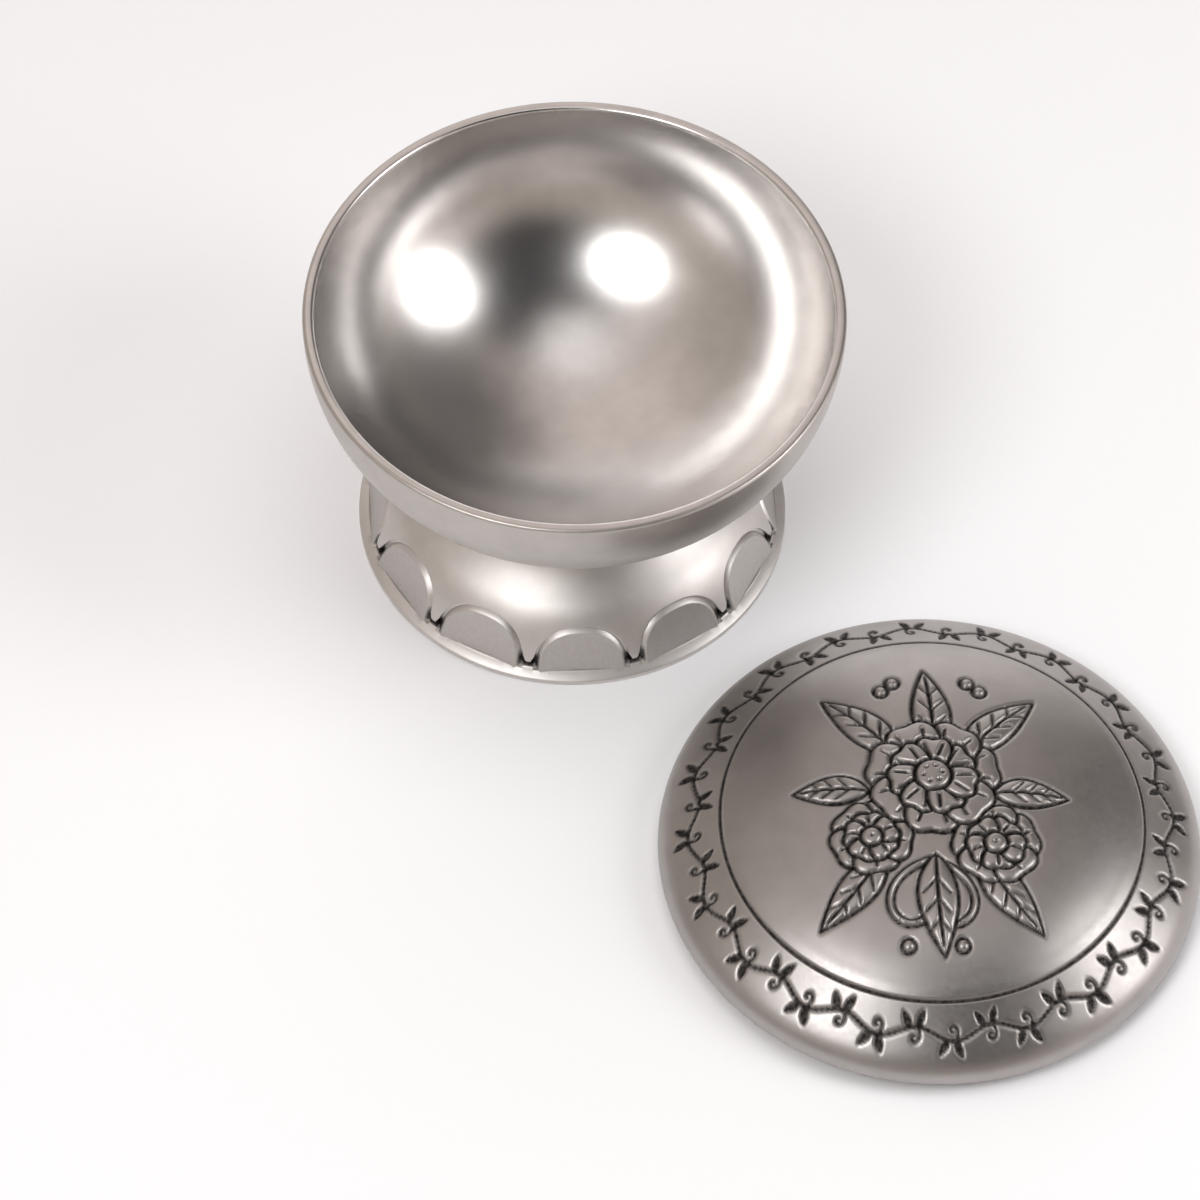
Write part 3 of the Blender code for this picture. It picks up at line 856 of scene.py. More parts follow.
class Carving:
    """A low relief over a flat plan, like chased work: each form lies over those before it."""

    ground = 0.12 * MM  # a line across a raised form is cut from no higher than this

    def __init__(self, plan, line_width, line_depth):
        self.plan = plan
        self.line_width = line_width
        self.line_depth = line_depth
        self.height = np.zeros(len(plan))
        self.dark = np.zeros(len(plan))

    def near(self, path, margin):
        """Numbers of the plan's points in a path's box and a margin round it."""
        corners = np.asarray(path)
        low, high = corners.min(0) - margin, corners.max(0) + margin
        return np.flatnonzero(((self.plan > low) & (self.plan < high)).all(1))

    def form(self, outline, level, swell, softness):
        """A raised form with a swollen middle, cut out from what lies under it by a dark line."""
        chosen = self.near(outline, 2 * self.line_width)
        away, inside = distance_to(self.plan[chosen], outline, True)
        deep = away[inside]
        self.height[chosen[inside]] = level + swell * (1 - np.exp(-deep / softness))
        self.dark[chosen[inside]] = 0
        self.engrave(chosen, away)

    def line(self, path, depth_share=1.0, width_share=1.0):
        """An engraved line along a path."""
        chosen = self.near(path, 2 * self.line_width)
        away, _ = distance_to(self.plan[chosen], path, False)
        self.engrave(chosen, away, depth_share, width_share)

    def wire(self, path, width, level):
        """A raised round wire along a path, with a dark line down each side."""
        chosen = self.near(path, width + 2 * self.line_width)
        away, _ = distance_to(self.plan[chosen], path, False)
        side = width * 0.62
        within = away < side
        self.height[chosen[within]] = level * np.exp(-((away[within] / (0.45 * width)) ** 2))
        self.dark[chosen[within]] = 0
        self.engrave(chosen, away - side, depth_share=0.8, width_share=0.8)

    def fill(self, outline):
        """A small form cut down whole, and dark all over."""
        chosen = self.near(outline, 2 * self.line_width)
        away, inside = distance_to(self.plan[chosen], outline, True)
        self.engrave(chosen, np.where(inside, 0, away), depth_share=0.8, width_share=0.6)

    def engrave(self, chosen, away, depth_share=1.0, width_share=1.0):
        """Lower and darken the points that lie close to a line, with soft sides."""
        reach = 0.46 * self.line_width * width_share
        share = np.exp(-((away / reach) ** 2))
        floor = np.minimum(self.height[chosen], self.ground) - self.line_depth * depth_share
        self.height[chosen] += (floor - self.height[chosen]) * share
        dark = np.clip(1.5 * share * depth_share**0.5, 0, 1)
        self.dark[chosen] = np.maximum(self.dark[chosen], dark)


def placed(points, place, turn):
    """Turn and move flat points."""
    across, along = np.asarray(points, float).T
    cos, sin = math.cos(turn), math.sin(turn)
    turned = [place[0] + across * cos - along * sin, place[1] + across * sin + along * cos]
    return np.stack(turned, axis=1)


def leaf_points(length, width, hook=0.0):
    """A pointed leaf from its stalk at the origin to its tip along X, bent sideways by a hook."""
    shares = np.linspace(0, 1, 22)
    half = width / 2 * np.sin(math.pi * shares**0.85) ** 0.9 * (1 - 0.15 * shares)
    along = length * shares
    bend = hook * shares**2
    upper = np.stack([along, bend + half], axis=1)
    lower = np.stack([along, bend - half], axis=1)
    return np.concatenate([upper, lower[::-1][1:-1]])


def petal_points(length, width, notch):
    """A rounded petal from a narrow foot at the origin, widest near its notched end along X."""
    turns = np.linspace(0, math.tau, 40, endpoint=False)
    along = length * (0.5 - 0.5 * np.cos(turns))
    shape = np.abs(np.sin(turns)) ** 0.8 * np.sign(np.sin(turns))
    across = width / 2 * shape * (0.35 + 0.65 * (along / length) ** 0.7) * 1.08
    dent = notch * np.exp(-((across / (0.16 * width)) ** 2)) * (along > 0.7 * length)
    return np.stack([along - dent, across], axis=1)


def leaf(carving, place, turn, length, width, hook):
    """A raised leaf with a midrib and three pairs of side veins."""
    outline = placed(leaf_points(length, width, hook), place, turn)
    carving.form(outline, level=0.10 * MM, swell=0.45 * MM, softness=1.0 * MM)
    shares = np.linspace(0.0, 0.90, 14)
    rib = np.stack([length * shares, hook * shares**2], axis=1)
    carving.line(placed(rib, place, turn), depth_share=0.7, width_share=0.9)
    for share in (0.26, 0.46, 0.66):
        for side in (-1, 1):
            start = (length * share, hook * share**2)
            reach = width * 0.33 * (1.1 - 0.5 * share)
            end = (start[0] + 1.1 * reach, start[1] + side * reach)
            carving.line(placed([start, end], place, turn), depth_share=0.4, width_share=0.8)


def ring_points(radius, steps=28):
    """A circle round the origin."""
    turns = np.linspace(0, math.tau, steps, endpoint=False)
    return np.stack([radius * np.cos(turns), radius * np.sin(turns)], axis=1)


def blossom(carving, place, turn, radius, petals, level):
    """An open flower: rings of petals, each smaller than the last, round a seeded heart."""
    large = radius > 7 * MM
    folds = (-0.22, 0.22) if large else (0.0,)
    for ring, share in enumerate((1.0, 0.68)):
        length = radius * share
        width = 2.15 * length * math.sin(math.pi / petals)
        ring_level = level + 0.12 * MM * ring
        for index in range(petals):
            angle = turn + math.tau * (index + 0.5 * ring) / petals
            outline = placed(petal_points(length, width, 0.05 * radius), place, angle)
            carving.form(outline, ring_level, swell=0.34 * MM, softness=0.9 * MM)
            for side in folds:
                fold = [(length * 0.50, side * width * 0.5), (length * 0.80, side * width)]
                carving.line(placed(fold, place, angle), depth_share=0.45, width_share=0.8)
    heart = 0.27 * radius
    disc = placed(ring_points(heart), place, 0)
    carving.form(disc, level + 0.16 * MM, swell=0.34 * MM, softness=0.6 * MM)
    seeds = placed(ring_points(0.52 * heart, 6), place, turn) if large else [np.array(place)]
    for seed in seeds:
        carving.line([seed, seed + 0.01 * MM], depth_share=0.6, width_share=0.9)


def berry(carving, place, radius):
    """A small raised ball on its own."""
    outline = placed(ring_points(radius, 20), place, 0)
    carving.form(outline, level=0.18 * MM, swell=0.35 * MM, softness=0.5 * MM)


def scroll_points(reach, turns, steps=40):
    """A path that leaves the origin along X and winds in on itself to the left."""
    points, place = [], np.zeros(2)
    for step in range(steps + 1):
        points.append(place)
        share = step / steps
        heading = turns * math.tau * share**1.5
        stride = reach / steps * (1.35 - 0.8 * share)
        place = place + stride * np.array([math.cos(heading), math.sin(heading)])
    return np.array(points)


def medallion_carving(plan, lid):
    """A spray of three flowers with leaves, berries and curled tendrils, raised on the dome."""
    carving = Carving(plan, lid.line_width, lid.line_depth)
    # Tendrils: place across and along the lid in mm, bearing in degrees, and side they curl to.
    for across, along, bearing, hand in ((0, -10, -25, -1), (-1, -10, -155, 1)):
        scroll = scroll_points(19 * MM, 0.85) * (1, hand)
        path = placed(scroll, (across * MM, along * MM), math.radians(bearing))
        carving.wire(path, width=0.85 * MM, level=0.42 * MM)
    # Leaves: place in mm, bearing in degrees, then length, width and hook in mm.
    for across, along, bearing, length, width, hook in (
        (0, 8, 90, 14.5, 5.8, 1.2),
        (4, 7, 52, 14.5, 5.8, -1.6),
        (-5, 7, 130, 14.5, 5.8, 1.6),
        (8, 1, 6, 10.5, 5.0, -1.2),
        (-9, 1, 174, 10.5, 5.0, 1.2),
        (0, -9, -90, 15.0, 6.0, 1.2),
        (6, -9, -58, 14.0, 5.6, 1.6),
        (-7, -9, -122, 14.0, 5.6, -1.6),
    ):
        place = (across * MM, along * MM)
        leaf(carving, place, math.radians(bearing), length * MM, width * MM, hook * MM)
    # Berries: places in mm.
    for across, along in (
        (4.9, 20.2),
        (6.6, 18.7),
        (-5.6, 20.0),
        (-7.2, 18.4),
        (3.6, -22.4),
        (-3.8, -22.6),
    ):
        berry(carving, (across * MM, along * MM), 1.0 * MM)
    # Flowers: place in mm, turn in radians, radius in mm, number of petals and level in mm.
    for across, along, turn, radius, petals, level in (
        (8.3, -7.0, 0.4, 6.2, 5, 0.14),
        (-8.8, -6.4, 1.1, 5.8, 5, 0.14),
        (-0.2, 3.6, 0.2, 9.6, 7, 0.20),
    ):
        place = (across * MM, along * MM)
        blossom(carving, place, turn, radius * MM, petals, level * MM)
    return carving


def border_carving(bearing, radius, lid):
    """A running vine in dark lines: leaves on both its sides and a curled tendril in each bend."""
    middle = lid.radius - 4.7 * MM
    repeats, rise = 20, 0.75 * MM
    length = math.tau * middle / repeats
    along = (bearing % (math.tau / repeats)) * middle
    plan = np.stack([along, radius - middle], axis=1)
    carving = Carving(plan, lid.line_width, 0.8 * lid.line_depth)
    shares = np.linspace(-0.6, 1.6, 89)
    carving.line(np.stack([length * shares, rise * np.sin(math.tau * shares)], axis=1))
    leaf_outline = leaf_points(2.1 * MM, 0.9 * MM)
    for share in np.arange(-0.5, 1.6, 0.5):
        side = 1 if round(share * 2) % 2 == 0 else -1
        crest = np.array([length * (share + 0.25), side * rise])
        carving.fill(placed(leaf_outline, crest, side * 1.15))
        carving.fill(placed(leaf_outline, crest - (0.9 * MM, side * 0.1 * MM), side * 2.2))
        tendril = scroll_points(3.4 * MM, 0.95, 24) * (1, -side)
        path = placed(tendril, crest + (0.2 * MM, -side * 0.1 * MM), -side * 1.1)
        carving.line(path, depth_share=0.9, width_share=0.9)
    return carving


def carve_lid(cap, lid):
    """Raise the flowers, sink the border's lines and keep where the patina stays."""
    places = places_of(cap)
    radius = np.hypot(places[:, 0], places[:, 1])
    from_groove = radius - groove_radius(lid)
    # The top alone is carved, not the hollow under it.
    top = places[:, 2] > widest_height(lid) + 0.2 * MM
    top &= places[:, 2] > lid_heights(lid, np.minimum(radius, lid.radius)) - 0.4 * MM
    in_medallion = top & (from_groove < -1.2 * MM)
    in_border = top & (from_groove > 0.6 * MM) & (radius < lid.radius - STEEP_EDGE)
    relief = medallion_carving(places[:, :2], lid)
    border = border_carving(np.arctan2(places[:, 1], places[:, 0]), radius, lid)
    rise = np.where(in_medallion, relief.height, 0) + np.where(in_border, border.height, 0)
    dark = np.where(in_medallion, relief.dark, 0) + np.where(in_border, border.dark, 0)
    dark += np.exp(-np.abs(from_groove / (lid.groove_width * 0.45)) ** 3) * top
    # The relief stands square to the dome.
    step = 0.05 * MM
    slope = (plain_top(lid, radius + step) - plain_top(lid, radius - step)) / (2 * step)
    tilt = 1 / np.sqrt(1 + slope**2)
    away = np.where(radius > MERGE_DISTANCE, radius, 1)
    for way in (0, 1):
        places[:, way] -= rise * slope * tilt * places[:, way] / away
    places[:, 2] += rise * tilt
    set_places(cap, places)
    set_patina_and_shade(cap, dark)


def plain_top(lid, radius):
    """The lid's top at a radius without its groove and its carving."""
    return widest_height(lid) + dome_height_at(lid, np.clip(radius, 0, lid.radius - 0.2 * MM))


def select_ring(piece, radius, height):
    """Select the ring of edges at a radius and height, in edit mode."""
    near = 0.01 * MM
    mesh = bmesh.from_edit_mesh(piece.data)
    for vert in mesh.verts:
        at_radius = abs(math.hypot(vert.co.x, vert.co.y) - radius) < near
        if at_radius and abs(vert.co.z - height) < near:
            vert.select = True
    mesh.select_flush(True)
    bmesh.update_edit_mesh(piece.data)


def join_pieces(name, pieces):
    """Make several objects one mesh, with the first one's name changed to the given name."""
    deselect_all()
    for piece in pieces:
        piece.select_set(True)
    bpy.context.view_layer.objects.active = pieces[0]
    bpy.ops.object.join()
    joined = bpy.context.object
    joined.name = name
    joined.data.name = name
    return joined


class TRINKET_OT_add_lid(bpy.types.Operator):
    """Add the domed lid with its flower relief, ring groove and vine border"""

    bl_idname = "trinket.add_lid"
    bl_label = "Add Lid"

    def execute(self, context):
        scene = context.scene
        lid, finish = scene.trinket_lid, scene.trinket_finish
        disc = medallion_grid(lid)
        outside = border_outline(lid)
        border = turned_piece("lid_border", outside, steps=4 * GRID)
        below = underside_outline(lid, scene.trinket_fixing, scene.trinket_bowl)
        hollow = turned_piece("lid_hollow", below, steps=96)
        cap = join_pieces("lid_cap", [disc, border, hollow])
        edit_all(cap)
        bpy.ops.mesh.remove_doubles(threshold=3 * MERGE_DISTANCE)
        bpy.ops.mesh.select_all(action="DESELECT")
        select_ring(cap, *outside[-1])
        select_ring(cap, *below[0])
        bpy.ops.mesh.fill()
        close_seams()
        bpy.ops.object.mode_set(mode="OBJECT")
        carve_lid(cap, lid)
        smooth(cap, 62)
        stand_on(cap, LID_AXIS)
        metal = pewter(
            "brushed_antiqued_pewter", finish.lid_bright, finish.oxide, finish.lid_roughness, LID_AXIS
        )
        hand_over(cap, "lid", "lid", "lid_metal", metal)
        return {"FINISHED"}


class TRINKET_OT_add_ring(bpy.types.Operator):
    """Add the plain ring under the lid, which drops inside the bowl's lip"""

    bl_idname = "trinket.add_ring"
    bl_label = "Add Locating Ring"

    def execute(self, context):
        fixing, finish = context.scene.trinket_fixing, context.scene.trinket_finish
        outer = ring_radius(context.scene.trinket_bowl)
        inner = outer - fixing.ring_thickness
        top = context.scene.trinket_lid.stand + RING_SEAT_DEPTH - JOINT_GAP
        edge = fixing.ring_round
        outline = [
            (inner, top),
            *arc((inner + edge, edge), (edge, edge), math.pi, 1.5 * math.pi, 5),
            *arc((outer - edge, edge), (edge, edge), 1.5 * math.pi, math.tau, 5),
            (outer, top),
        ]
        ring = turned_piece("locating_ring", outline, steps=240, closed=True)
        smooth(ring, 40)
        stand_on(ring, LID_AXIS)
        metal = pewter(
            "turned_pewter", finish.outside, finish.oxide, finish.outside_roughness, LID_AXIS
        )
        hand_over(ring, "lid_locating_ring", "lid", "ring_metal", metal)
        return {"FINISHED"}


class TRINKET_OT_add_fixing(bpy.types.Operator):
    """Add the pan head screw and the washer that hold the bowl to its foot"""

    bl_idname = "trinket.add_fixing"
    bl_label = "Add Screw and Washer"

    def execute(self, context):
        fixing, finish = context.scene.trinket_fixing, context.scene.trinket_finish
        plated = zinc_plate("zinc_plated_steel", finish.zinc, BOWL_AXIS)
        for piece, node in ((screw(fixing), "foot_screw"), (washer(fixing), "foot_washer")):
            smooth(piece, 35)
            stand_on(piece, BOWL_AXIS)
            hand_over(piece, node, "footed_bowl", "fixing_metal", plated)
        return {"FINISHED"}


def washer(fixing):
    """A flat washer with its edges broken."""
    low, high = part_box("foot_washer")
    outer, inner, edge = half_width_of("foot_washer"), fixing.washer_hole, 0.12 * MM
    outline = []
    for radius, height, out, up in (
        (inner, low.z, 1, 1),
        (outer, low.z, -1, 1),
        (outer, high.z, -1, -1),
        (inner, high.z, 1, -1),
    ):
        corner = [(radius, height + up * edge), (radius + out * edge, height)]
        outline += corner if out == up else corner[::-1]
    return turned_piece("flat_washer", outline, steps=96, closed=True)


def screw(fixing):
    """A slotted pan head on a shank with a rolled thread."""
    low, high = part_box("foot_screw")
    head_radius = half_width_of("foot_screw")
    head_height, dome = 2.2 * MM, 1.0 * MM
    head_top = low.z + head_height
    outline = [
        (0, low.z),
        *arc((head_radius - dome, low.z + dome), (dome, dome), -math.pi / 2, 0, 8),
        (head_radius, head_top),
        (0, head_top),
    ]
    head = turned_piece("pan_head_screw", outline, steps=96)
    join_by_boolean(head, slot_bar(head_radius, low.z, fixing), "DIFFERENCE")
    join_by_boolean(head, threaded_rod(fixing, head_top, high.z), "UNION")
    return head


def slot_bar(head_radius, low, fixing):
    """The bar that cuts the driver's slot, with room past the head on every side."""
    deselect_all()
    height = fixing.slot_depth + OVERRUN
    bpy.ops.mesh.primitive_cube_add(size=1, location=(0, 0, low + fixing.slot_depth - height / 2))
    bar = bpy.context.object
    bpy.ops.transform.resize(value=(2 * (head_radius + OVERRUN), fixing.slot_width, height))
    bpy.ops.object.transform_apply(location=True, rotation=True, scale=True)
    return bar


def threaded_rod(fixing, low, high):
    """A rod of wound thread, cut flat inside the head and at its tip."""
    pitch = fixing.thread_pitch
    root = fixing.thread_radius - 0.61 * pitch
    start = low - 2 * pitch
    tooth = [
        (root, start),
        (root, start + 0.10 * pitch),
        (fixing.thread_radius, start + 0.48 * pitch),
        (fixing.thread_radius, start + 0.62 * pitch),
        (root, start + pitch),
    ]
    rod = drawn_line("thread", tooth)
    bpy.ops.object.mode_set(mode="OBJECT")
    wind(rod, steps=48, rise=pitch, turns=int((high - low) / pitch) + 4)
    edit(rod)
    close_seams()
    into_head = 0.4 * MM
    for height, below in ((low - into_head, True), (high, False)):
        bpy.ops.mesh.select_all(action="SELECT")
        bpy.ops.mesh.bisect(
            plane_co=(0, 0, height),
            plane_no=(0, 0, 1),
            use_fill=True,
            clear_inner=below,
            clear_outer=not below,
            threshold=MERGE_DISTANCE / 10,
        )
    close_seams()
    bpy.ops.object.mode_set(mode="OBJECT")
    return rod


def add_node(tree, kind, settings=None, inputs=None):
    """Add a node, set what it is told, and set or link its inputs by name or number."""
    node = tree.nodes.new(kind)
    for name, value in (settings or {}).items():
        setattr(node, name, value)
    for name, value in (inputs or {}).items():
        if isinstance(value, bpy.types.NodeSocket):
            tree.links.new(value, node.inputs[name])
        else:
            node.inputs[name].default_value = value
    return node


def new_metal(name):
    """An empty metal material, with its tree and its shader."""
    material = bpy.data.materials.new(name)
    material.use_nodes = True
    tree = material.node_tree
    shader = tree.nodes["Principled BSDF"]
    shader.inputs["Metallic"].default_value = 1
    return material, tree, shader


def place_from_axis(tree, axis):
    """Object coordinates measured from a piece's own axis, in millimetres."""
    place = add_node(tree, "ShaderNodeTexCoord").outputs["Object"]
    from_axis = add_node(
        tree, "ShaderNodeVectorMath", {"operation": "SUBTRACT"}, {0: place, 1: tuple(axis)}
    ).outputs[0]
    return add_node(
        tree, "ShaderNodeVectorMath", {"operation": "SCALE"}, {0: from_axis, "Scale": 1000}
    ).outputs[0]


def buffing_streaks(tree, place, pitch):
    """Noise drawn out round the axis, as a buffing wheel leaves it, its lines a pitch apart in mm."""
    parts = add_node(tree, "ShaderNodeSeparateXYZ", inputs={0: place})
    flat = add_node(
        tree,
        "ShaderNodeCombineXYZ",
        inputs={"X": parts.outputs["X"], "Y": parts.outputs["Y"], "Z": 0.0},
    ).outputs[0]
    radius = add_node(
        tree, "ShaderNodeVectorMath", {"operation": "LENGTH"}, {0: flat}
    ).outputs["Value"]
    heading = add_node(
        tree, "ShaderNodeVectorMath", {"operation": "NORMALIZE"}, {0: flat}
    ).outputs[0]
    ways = add_node(tree, "ShaderNodeSeparateXYZ", inputs={0: heading})
    across = add_node(
        tree, "ShaderNodeMath", {"operation": "DIVIDE"}, {0: radius, 1: pitch}
    ).outputs[0]
    up = add_node(
        tree, "ShaderNodeMath", {"operation": "DIVIDE"}, {0: parts.outputs["Z"], 1: pitch}
    ).outputs[0]
    around = []
    for way in ("X", "Y"):
        turned = add_node(
            tree, "ShaderNodeMath", {"operation": "MULTIPLY"}, {0: ways.outputs[way], 1: 4.0}
        )
        around.append(turned.outputs[0])
    spot = add_node(
        tree, "ShaderNodeCombineXYZ", inputs={"X": across, "Y": around[0], "Z": around[1]}
    ).outputs[0]
    return add_node(
        tree,
        "ShaderNodeTexNoise",
        {"noise_dimensions": "4D"},
        {"Vector": spot, "W": up, "Scale": 1.0, "Detail": 2.0, "Roughness": 0.6},
    ).outputs[0]


def pewter(name, bright, oxide, roughness, axis, tooth=0.02):
    """A casting finished as antique pewter: buffed to a satin, then washed with a dark patina.

    The wash was wiped off all that stands proud, so it stays in the recesses, where the metal
    looks black and dull. The buffed parts keep fine lines round the axis and a soft mottle.
    The tooth says how much the lines and the grain of the casting break up the gloss.
    """
    material, tree, shader = new_metal(name)
    place = place_from_axis(tree, axis)
    # Clouds about 4.5 mm across, which the hand that wiped the wash off left.
    mottle = add_node(
        tree,
        "ShaderNodeTexNoise",
        inputs={"Vector": place, "Scale": 0.22, "Detail": 3.0, "Roughness": 0.55},
    ).outputs[0]
    # The casting's grain and the buffing lines are finer, and drawn 0.6 and 0.35 mm wide to show.
    grain = add_node(
        tree,
        "ShaderNodeTexNoise",
        inputs={"Vector": place, "Scale": 1.6, "Detail": 2.0, "Roughness": 0.55},
    ).outputs[0]
    streaks = buffing_streaks(tree, place, 0.35)
    # The patina layer darkens the colour; on the foot it also holds painted shade in the creases round the
    # petals.
    kept = add_node(tree, "ShaderNodeAttribute", {"attribute_name": "patina"}).outputs["Fac"]
    broken = add_node(
        tree,
        "ShaderNodeMapRange",
        inputs={"Value": grain, "From Min": 0.3, "From Max": 0.7, "To Min": 0.82, "To Max": 1.06},
    ).outputs[0]
    patina = add_node(
        tree, "ShaderNodeMath", {"operation": "MULTIPLY", "use_clamp": True}, {0: kept, 1: broken}
    ).outputs[0]
    film = add_node(
        tree,
        "ShaderNodeMapRange",
        inputs={"Value": mottle, "From Min": 0.3, "From Max": 0.7, "To Min": 0.02, "To Max": 0.12},
    ).outputs[0]
    # Darkens toward the oxide colour: patina and film, and on the foot painted shade in the creases.
    dark_wash_and_shade = add_node(
        tree, "ShaderNodeMath", {"operation": "MAXIMUM"}, {0: patina, 1: film}
    ).outputs[0]
    colour = add_node(
        tree, "ShaderNodeMix", {"data_type": "RGBA"}, {0: dark_wash_and_shade, 6: (*bright, 1), 7: (*oxide, 1)}
    ).outputs[2]
    tree.links.new(colour, shader.inputs["Base Color"])
    spread = 1.5 * tooth
    gloss = add_node(
        tree,
        "ShaderNodeMapRange",
        inputs={
            "Value": grain,
            "From Min": 0.25,
            "From Max": 0.75,
            "To Min": roughness - spread,
            "To Max": roughness + spread,
        },
    ).outputs[0]
    dull = 0.62
    worn_gloss = add_node(
        tree, "ShaderNodeMix", {"data_type": "FLOAT"}, {0: patina, 2: gloss, 3: dull}
    ).outputs[0]
    tree.links.new(worn_gloss, shader.inputs["Roughness"])
    depth = 0.05 * MM
    lines = add_node(
        tree, "ShaderNodeBump", inputs={"Height": streaks, "Strength": tooth, "Distance": depth}
    ).outputs[0]
    skin = add_node(
        tree,
        "ShaderNodeBump",
        inputs={"Height": grain, "Strength": tooth, "Distance": depth, "Normal": lines},
    ).outputs[0]
    tree.links.new(skin, shader.inputs["Normal"])
    return material


def zinc_plate(name, colour, axis):
    """Zinc plated steel, rolled and barrel plated: bluish, bright and faintly cloudy."""
    material, tree, shader = new_metal(name)
    place = place_from_axis(tree, axis)
    # Clouds about 0.8 mm across.
    clouds = add_node(
        tree,
        "ShaderNodeTexNoise",
        inputs={"Vector": place, "Scale": 1.2, "Detail": 3.0, "Roughness": 0.6},
    ).outputs[0]
    dull = tuple(part * 0.72 for part in colour)
    mixed = add_node(
        tree, "ShaderNodeMix", {"data_type": "RGBA"}, {0: clouds, 6: (*colour, 1), 7: (*dull, 1)}
    ).outputs[2]
    tree.links.new(mixed, shader.inputs["Base Color"])
    gloss = add_node(
        tree,
        "ShaderNodeMapRange",
        inputs={"Value": clouds, "From Min": 0.3, "From Max": 0.7, "To Min": 0.28, "To Max": 0.42},
    ).outputs[0]
    tree.links.new(gloss, shader.inputs["Roughness"])
    return material


def way_to(bearing, elevation):
    """The way that points at a bearing from +Y and an elevation, both in degrees."""
    turn, up = math.radians(bearing), math.radians(elevation)
    return Vector((math.sin(turn) * math.cos(up), math.cos(turn) * math.cos(up), math.sin(up)))


def soft_box(name, bearing, elevation, distance, width, height, power, mirrored=True):
    """A round soft light, aimed at the box, that metal mirrors or that only lights the floor.

    Its bearing from +Y and its elevation are in degrees.
    """
    lamp = bpy.data.lights.new(name, "AREA")
    lamp.shape = "ELLIPSE"
    lamp.size, lamp.size_y = width, height
    lamp.energy = power
    box = bpy.data.objects.new(name, lamp)
    bpy.context.collection.objects.link(box)
    way = way_to(bearing, elevation)
    box.location = way * distance + AIM
    box.rotation_euler = way.to_track_quat("Z", "Y").to_euler()
    box.visible_camera = False
    box.visible_glossy = mirrored


class TRINKET_OT_set_stage(bpy.types.Operator):
    """Set the pale floor, the lights, the surround and the camera"""

    bl_idname = "trinket.set_stage"
    bl_label = "Set Stage"

    def execute(self, context):
        studio = context.scene.trinket_studio
        deselect_all()
        bpy.ops.mesh.primitive_circle_add(
            vertices=96, radius=3, fill_type="NGON", location=(0, 0, 0)
        )
        floor = context.object
        floor.name = "floor"
        floor.data.materials.append(matt_paper("matt_white_paper", studio.floor))
        soft_box(
            "key_soft_box",
            bearing=-142,
            elevation=53,
            distance=0.7,
            width=0.31,
            height=0.28,
            power=studio.key_power,
        )
        soft_box(
            "side_soft_box",
            bearing=98,
            elevation=34,
            distance=0.7,
            width=0.31,
            height=0.49,
            power=studio.side_power,
        )
        soft_box(
            "floor_fill",
            bearing=0,
            elevation=90,
            distance=1.2,
            width=1.0,
            height=1.0,
            power=studio.fill_power,
            mirrored=False,
        )
        set_surround(context.scene, studio)
        set_camera(context.scene, studio)
        context.scene.view_settings.view_transform = "Standard"
        return {"FINISHED"}


def matt_paper(name, colour):
    """Matt background paper, rolled: nearly white, with no gloss and a faint tooth."""
    material = bpy.data.materials.new(name)
    material.use_nodes = True
    tree = material.node_tree
    shader = tree.nodes["Principled BSDF"]
    place = add_node(tree, "ShaderNodeTexCoord").outputs["Object"]
    # Real paper's tooth is finer. It is drawn about 1 mm wide to show.
    tooth = add_node(
        tree, "ShaderNodeTexNoise", inputs={"Vector": place, "Scale": 900.0, "Detail": 2.0}
    ).outputs[0]
    shade = tuple(part * 0.985 for part in colour)
    mixed = add_node(
        tree, "ShaderNodeMix", {"data_type": "RGBA"}, {0: tooth, 6: (*colour, 1), 7: (*shade, 1)}
    ).outputs[2]
    tree.links.new(mixed, shader.inputs["Base Color"])
    shader.inputs["Roughness"].default_value = 0.9
    return material


def set_surround(scene, studio):
    """A pale room with soft round patches, each laid over those before it."""
    world = bpy.data.worlds.new("studio")
    world.use_nodes = True
    scene.world = world
    tree = world.node_tree
    way = add_node(tree, "ShaderNodeTexCoord").outputs["Generated"]
    colour = (*studio.surround, 1)
    # In degrees: bearing from +Y and elevation of a patch's middle, how far from there it
    # fades out, and how far it is full.
    for bearing, elevation, faded, full, patch in (
        (180, 20, 58, 22, studio.dim_room),
        (-95, 16, 60, 22, studio.dim_room),
        (50, 34, 42, 14, studio.corner),
        (-4, 8, 38, 10, studio.back_wall),
        (150, 59, 42, 22, studio.far_side),
        (0, 90, 18, 6, studio.overhead),
    ):
        middle = way_to(bearing, elevation)
        toward = add_node(
            tree, "ShaderNodeVectorMath", {"operation": "DOT_PRODUCT"}, {0: way, 1: middle}
        ).outputs["Value"]
        edge, core = math.cos(math.radians(faded)), math.cos(math.radians(full))
        share = add_node(
            tree,
            "ShaderNodeMapRange",
            {"interpolation_type": "SMOOTHSTEP"},
            {"Value": toward, "From Min": edge, "From Max": core},
        ).outputs[0]
        colour = add_node(
            tree, "ShaderNodeMix", {"data_type": "RGBA"}, {0: share, 6: colour, 7: (*patch, 1)}
        ).outputs[2]
    background = tree.nodes["Background"]
    background.inputs["Strength"].default_value = studio.surround_strength
    tree.links.new(colour, background.inputs["Color"])


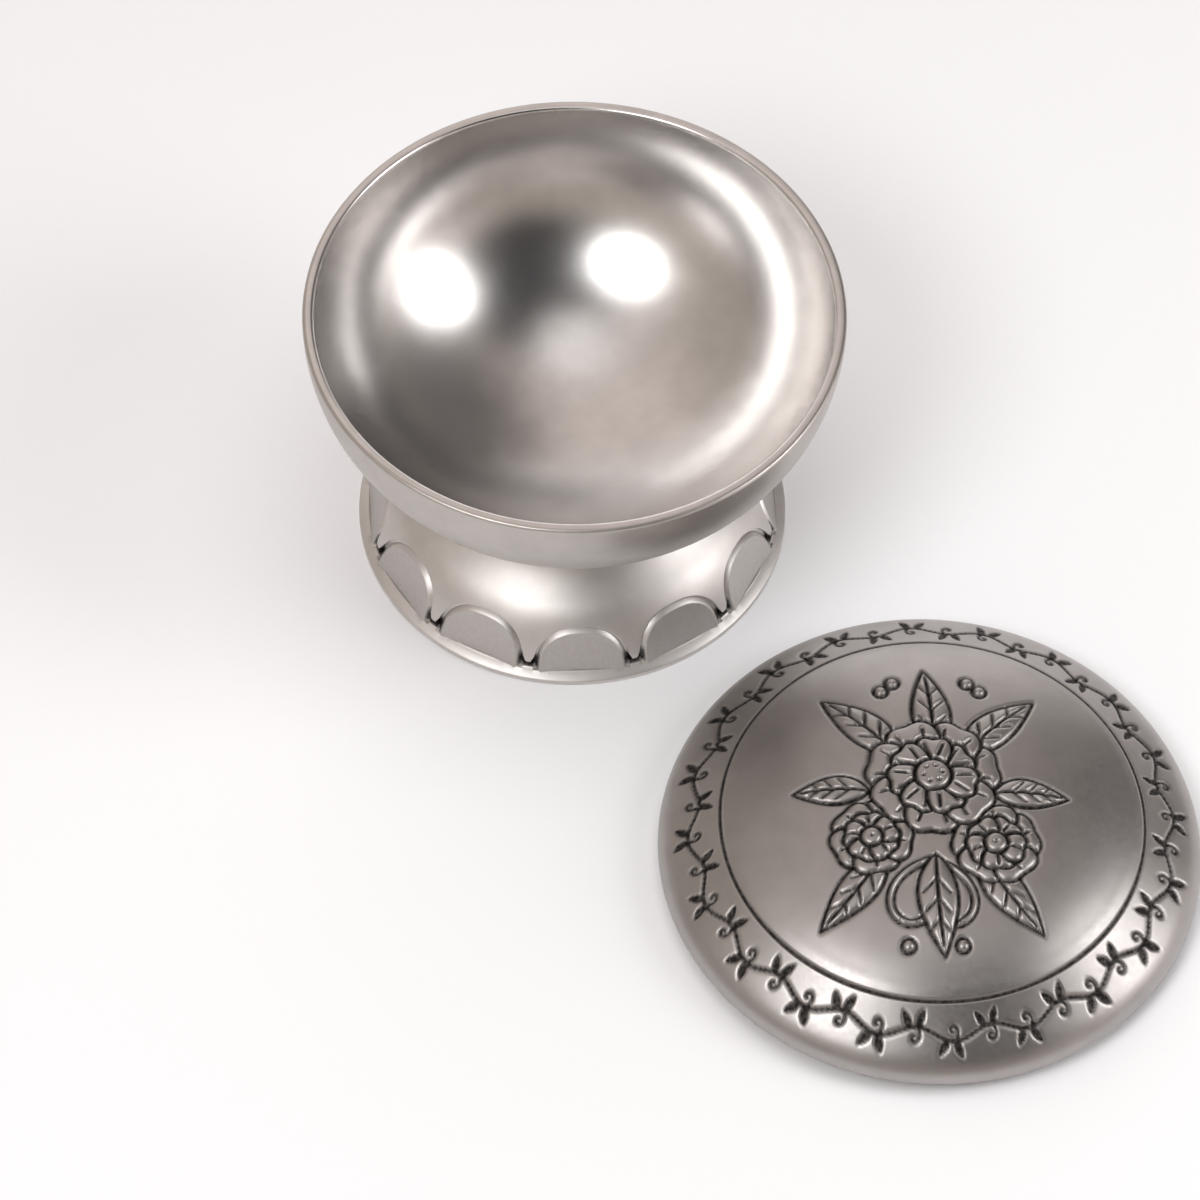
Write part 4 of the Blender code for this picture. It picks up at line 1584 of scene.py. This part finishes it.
def set_camera(scene, studio):
    """A long lens that looks down at the box from the front."""
    ahead = Vector((0, math.cos(studio.pitch), -math.sin(studio.pitch)))
    right = Vector((1, 0, 0))
    up = right.cross(ahead)
    cos, sin = math.cos(studio.roll), math.sin(studio.roll)
    x_axis, y_axis = right * cos + up * sin, up * cos - right * sin
    lens = bpy.data.cameras.new("camera")
    lens.sensor_width = 36
    lens.lens = studio.lens
    lens.clip_start = 0.01
    camera = bpy.data.objects.new("camera", lens)
    scene.collection.objects.link(camera)
    turn = Matrix((x_axis, y_axis, -ahead)).transposed().to_4x4()
    camera.matrix_world = Matrix.Translation(BOWL_AXIS + CAMERA_FROM_BOWL) @ turn
    scene.camera = camera


class TRINKET_PT_panel(bpy.types.Panel):
    """Lists the pieces of the trinket box"""

    bl_label = "Trinket Box"
    bl_idname = "TRINKET_PT_panel"
    bl_space_type = "VIEW_3D"
    bl_region_type = "UI"
    bl_category = "Trinket Box"

    def draw(self, context):
        for operator in OPERATORS:
            self.layout.operator(operator.bl_idname)
        for label in GROUPS:
            group = getattr(context.scene, label)
            column = self.layout.column()
            for name in type(group).__annotations__:
                column.prop(group, name)


GROUPS = {
    "trinket_bowl": BowlSizes,
    "trinket_foot": FootSizes,
    "trinket_lid": LidSizes,
    "trinket_fixing": FixingSizes,
    "trinket_finish": PewterFinish,
    "trinket_studio": StudioSettings,
}
OPERATORS = (
    TRINKET_OT_set_stage,
    TRINKET_OT_add_bowl,
    TRINKET_OT_add_foot,
    TRINKET_OT_add_lid,
    TRINKET_OT_add_ring,
    TRINKET_OT_add_fixing,
)


def register():
    for kind in (*GROUPS.values(), *OPERATORS, TRINKET_PT_panel):
        bpy.utils.register_class(kind)
    for label, group in GROUPS.items():
        setattr(bpy.types.Scene, label, bpy.props.PointerProperty(type=group))


def unregister():
    for label in GROUPS:
        delattr(bpy.types.Scene, label)
    for kind in reversed((*GROUPS.values(), *OPERATORS, TRINKET_PT_panel)):
        bpy.utils.unregister_class(kind)


def main():
    register()
    for operator in OPERATORS:
        family, name = operator.bl_idname.split(".")
        getattr(getattr(bpy.ops, family), name)()


if __name__ == "__main__":
    main()
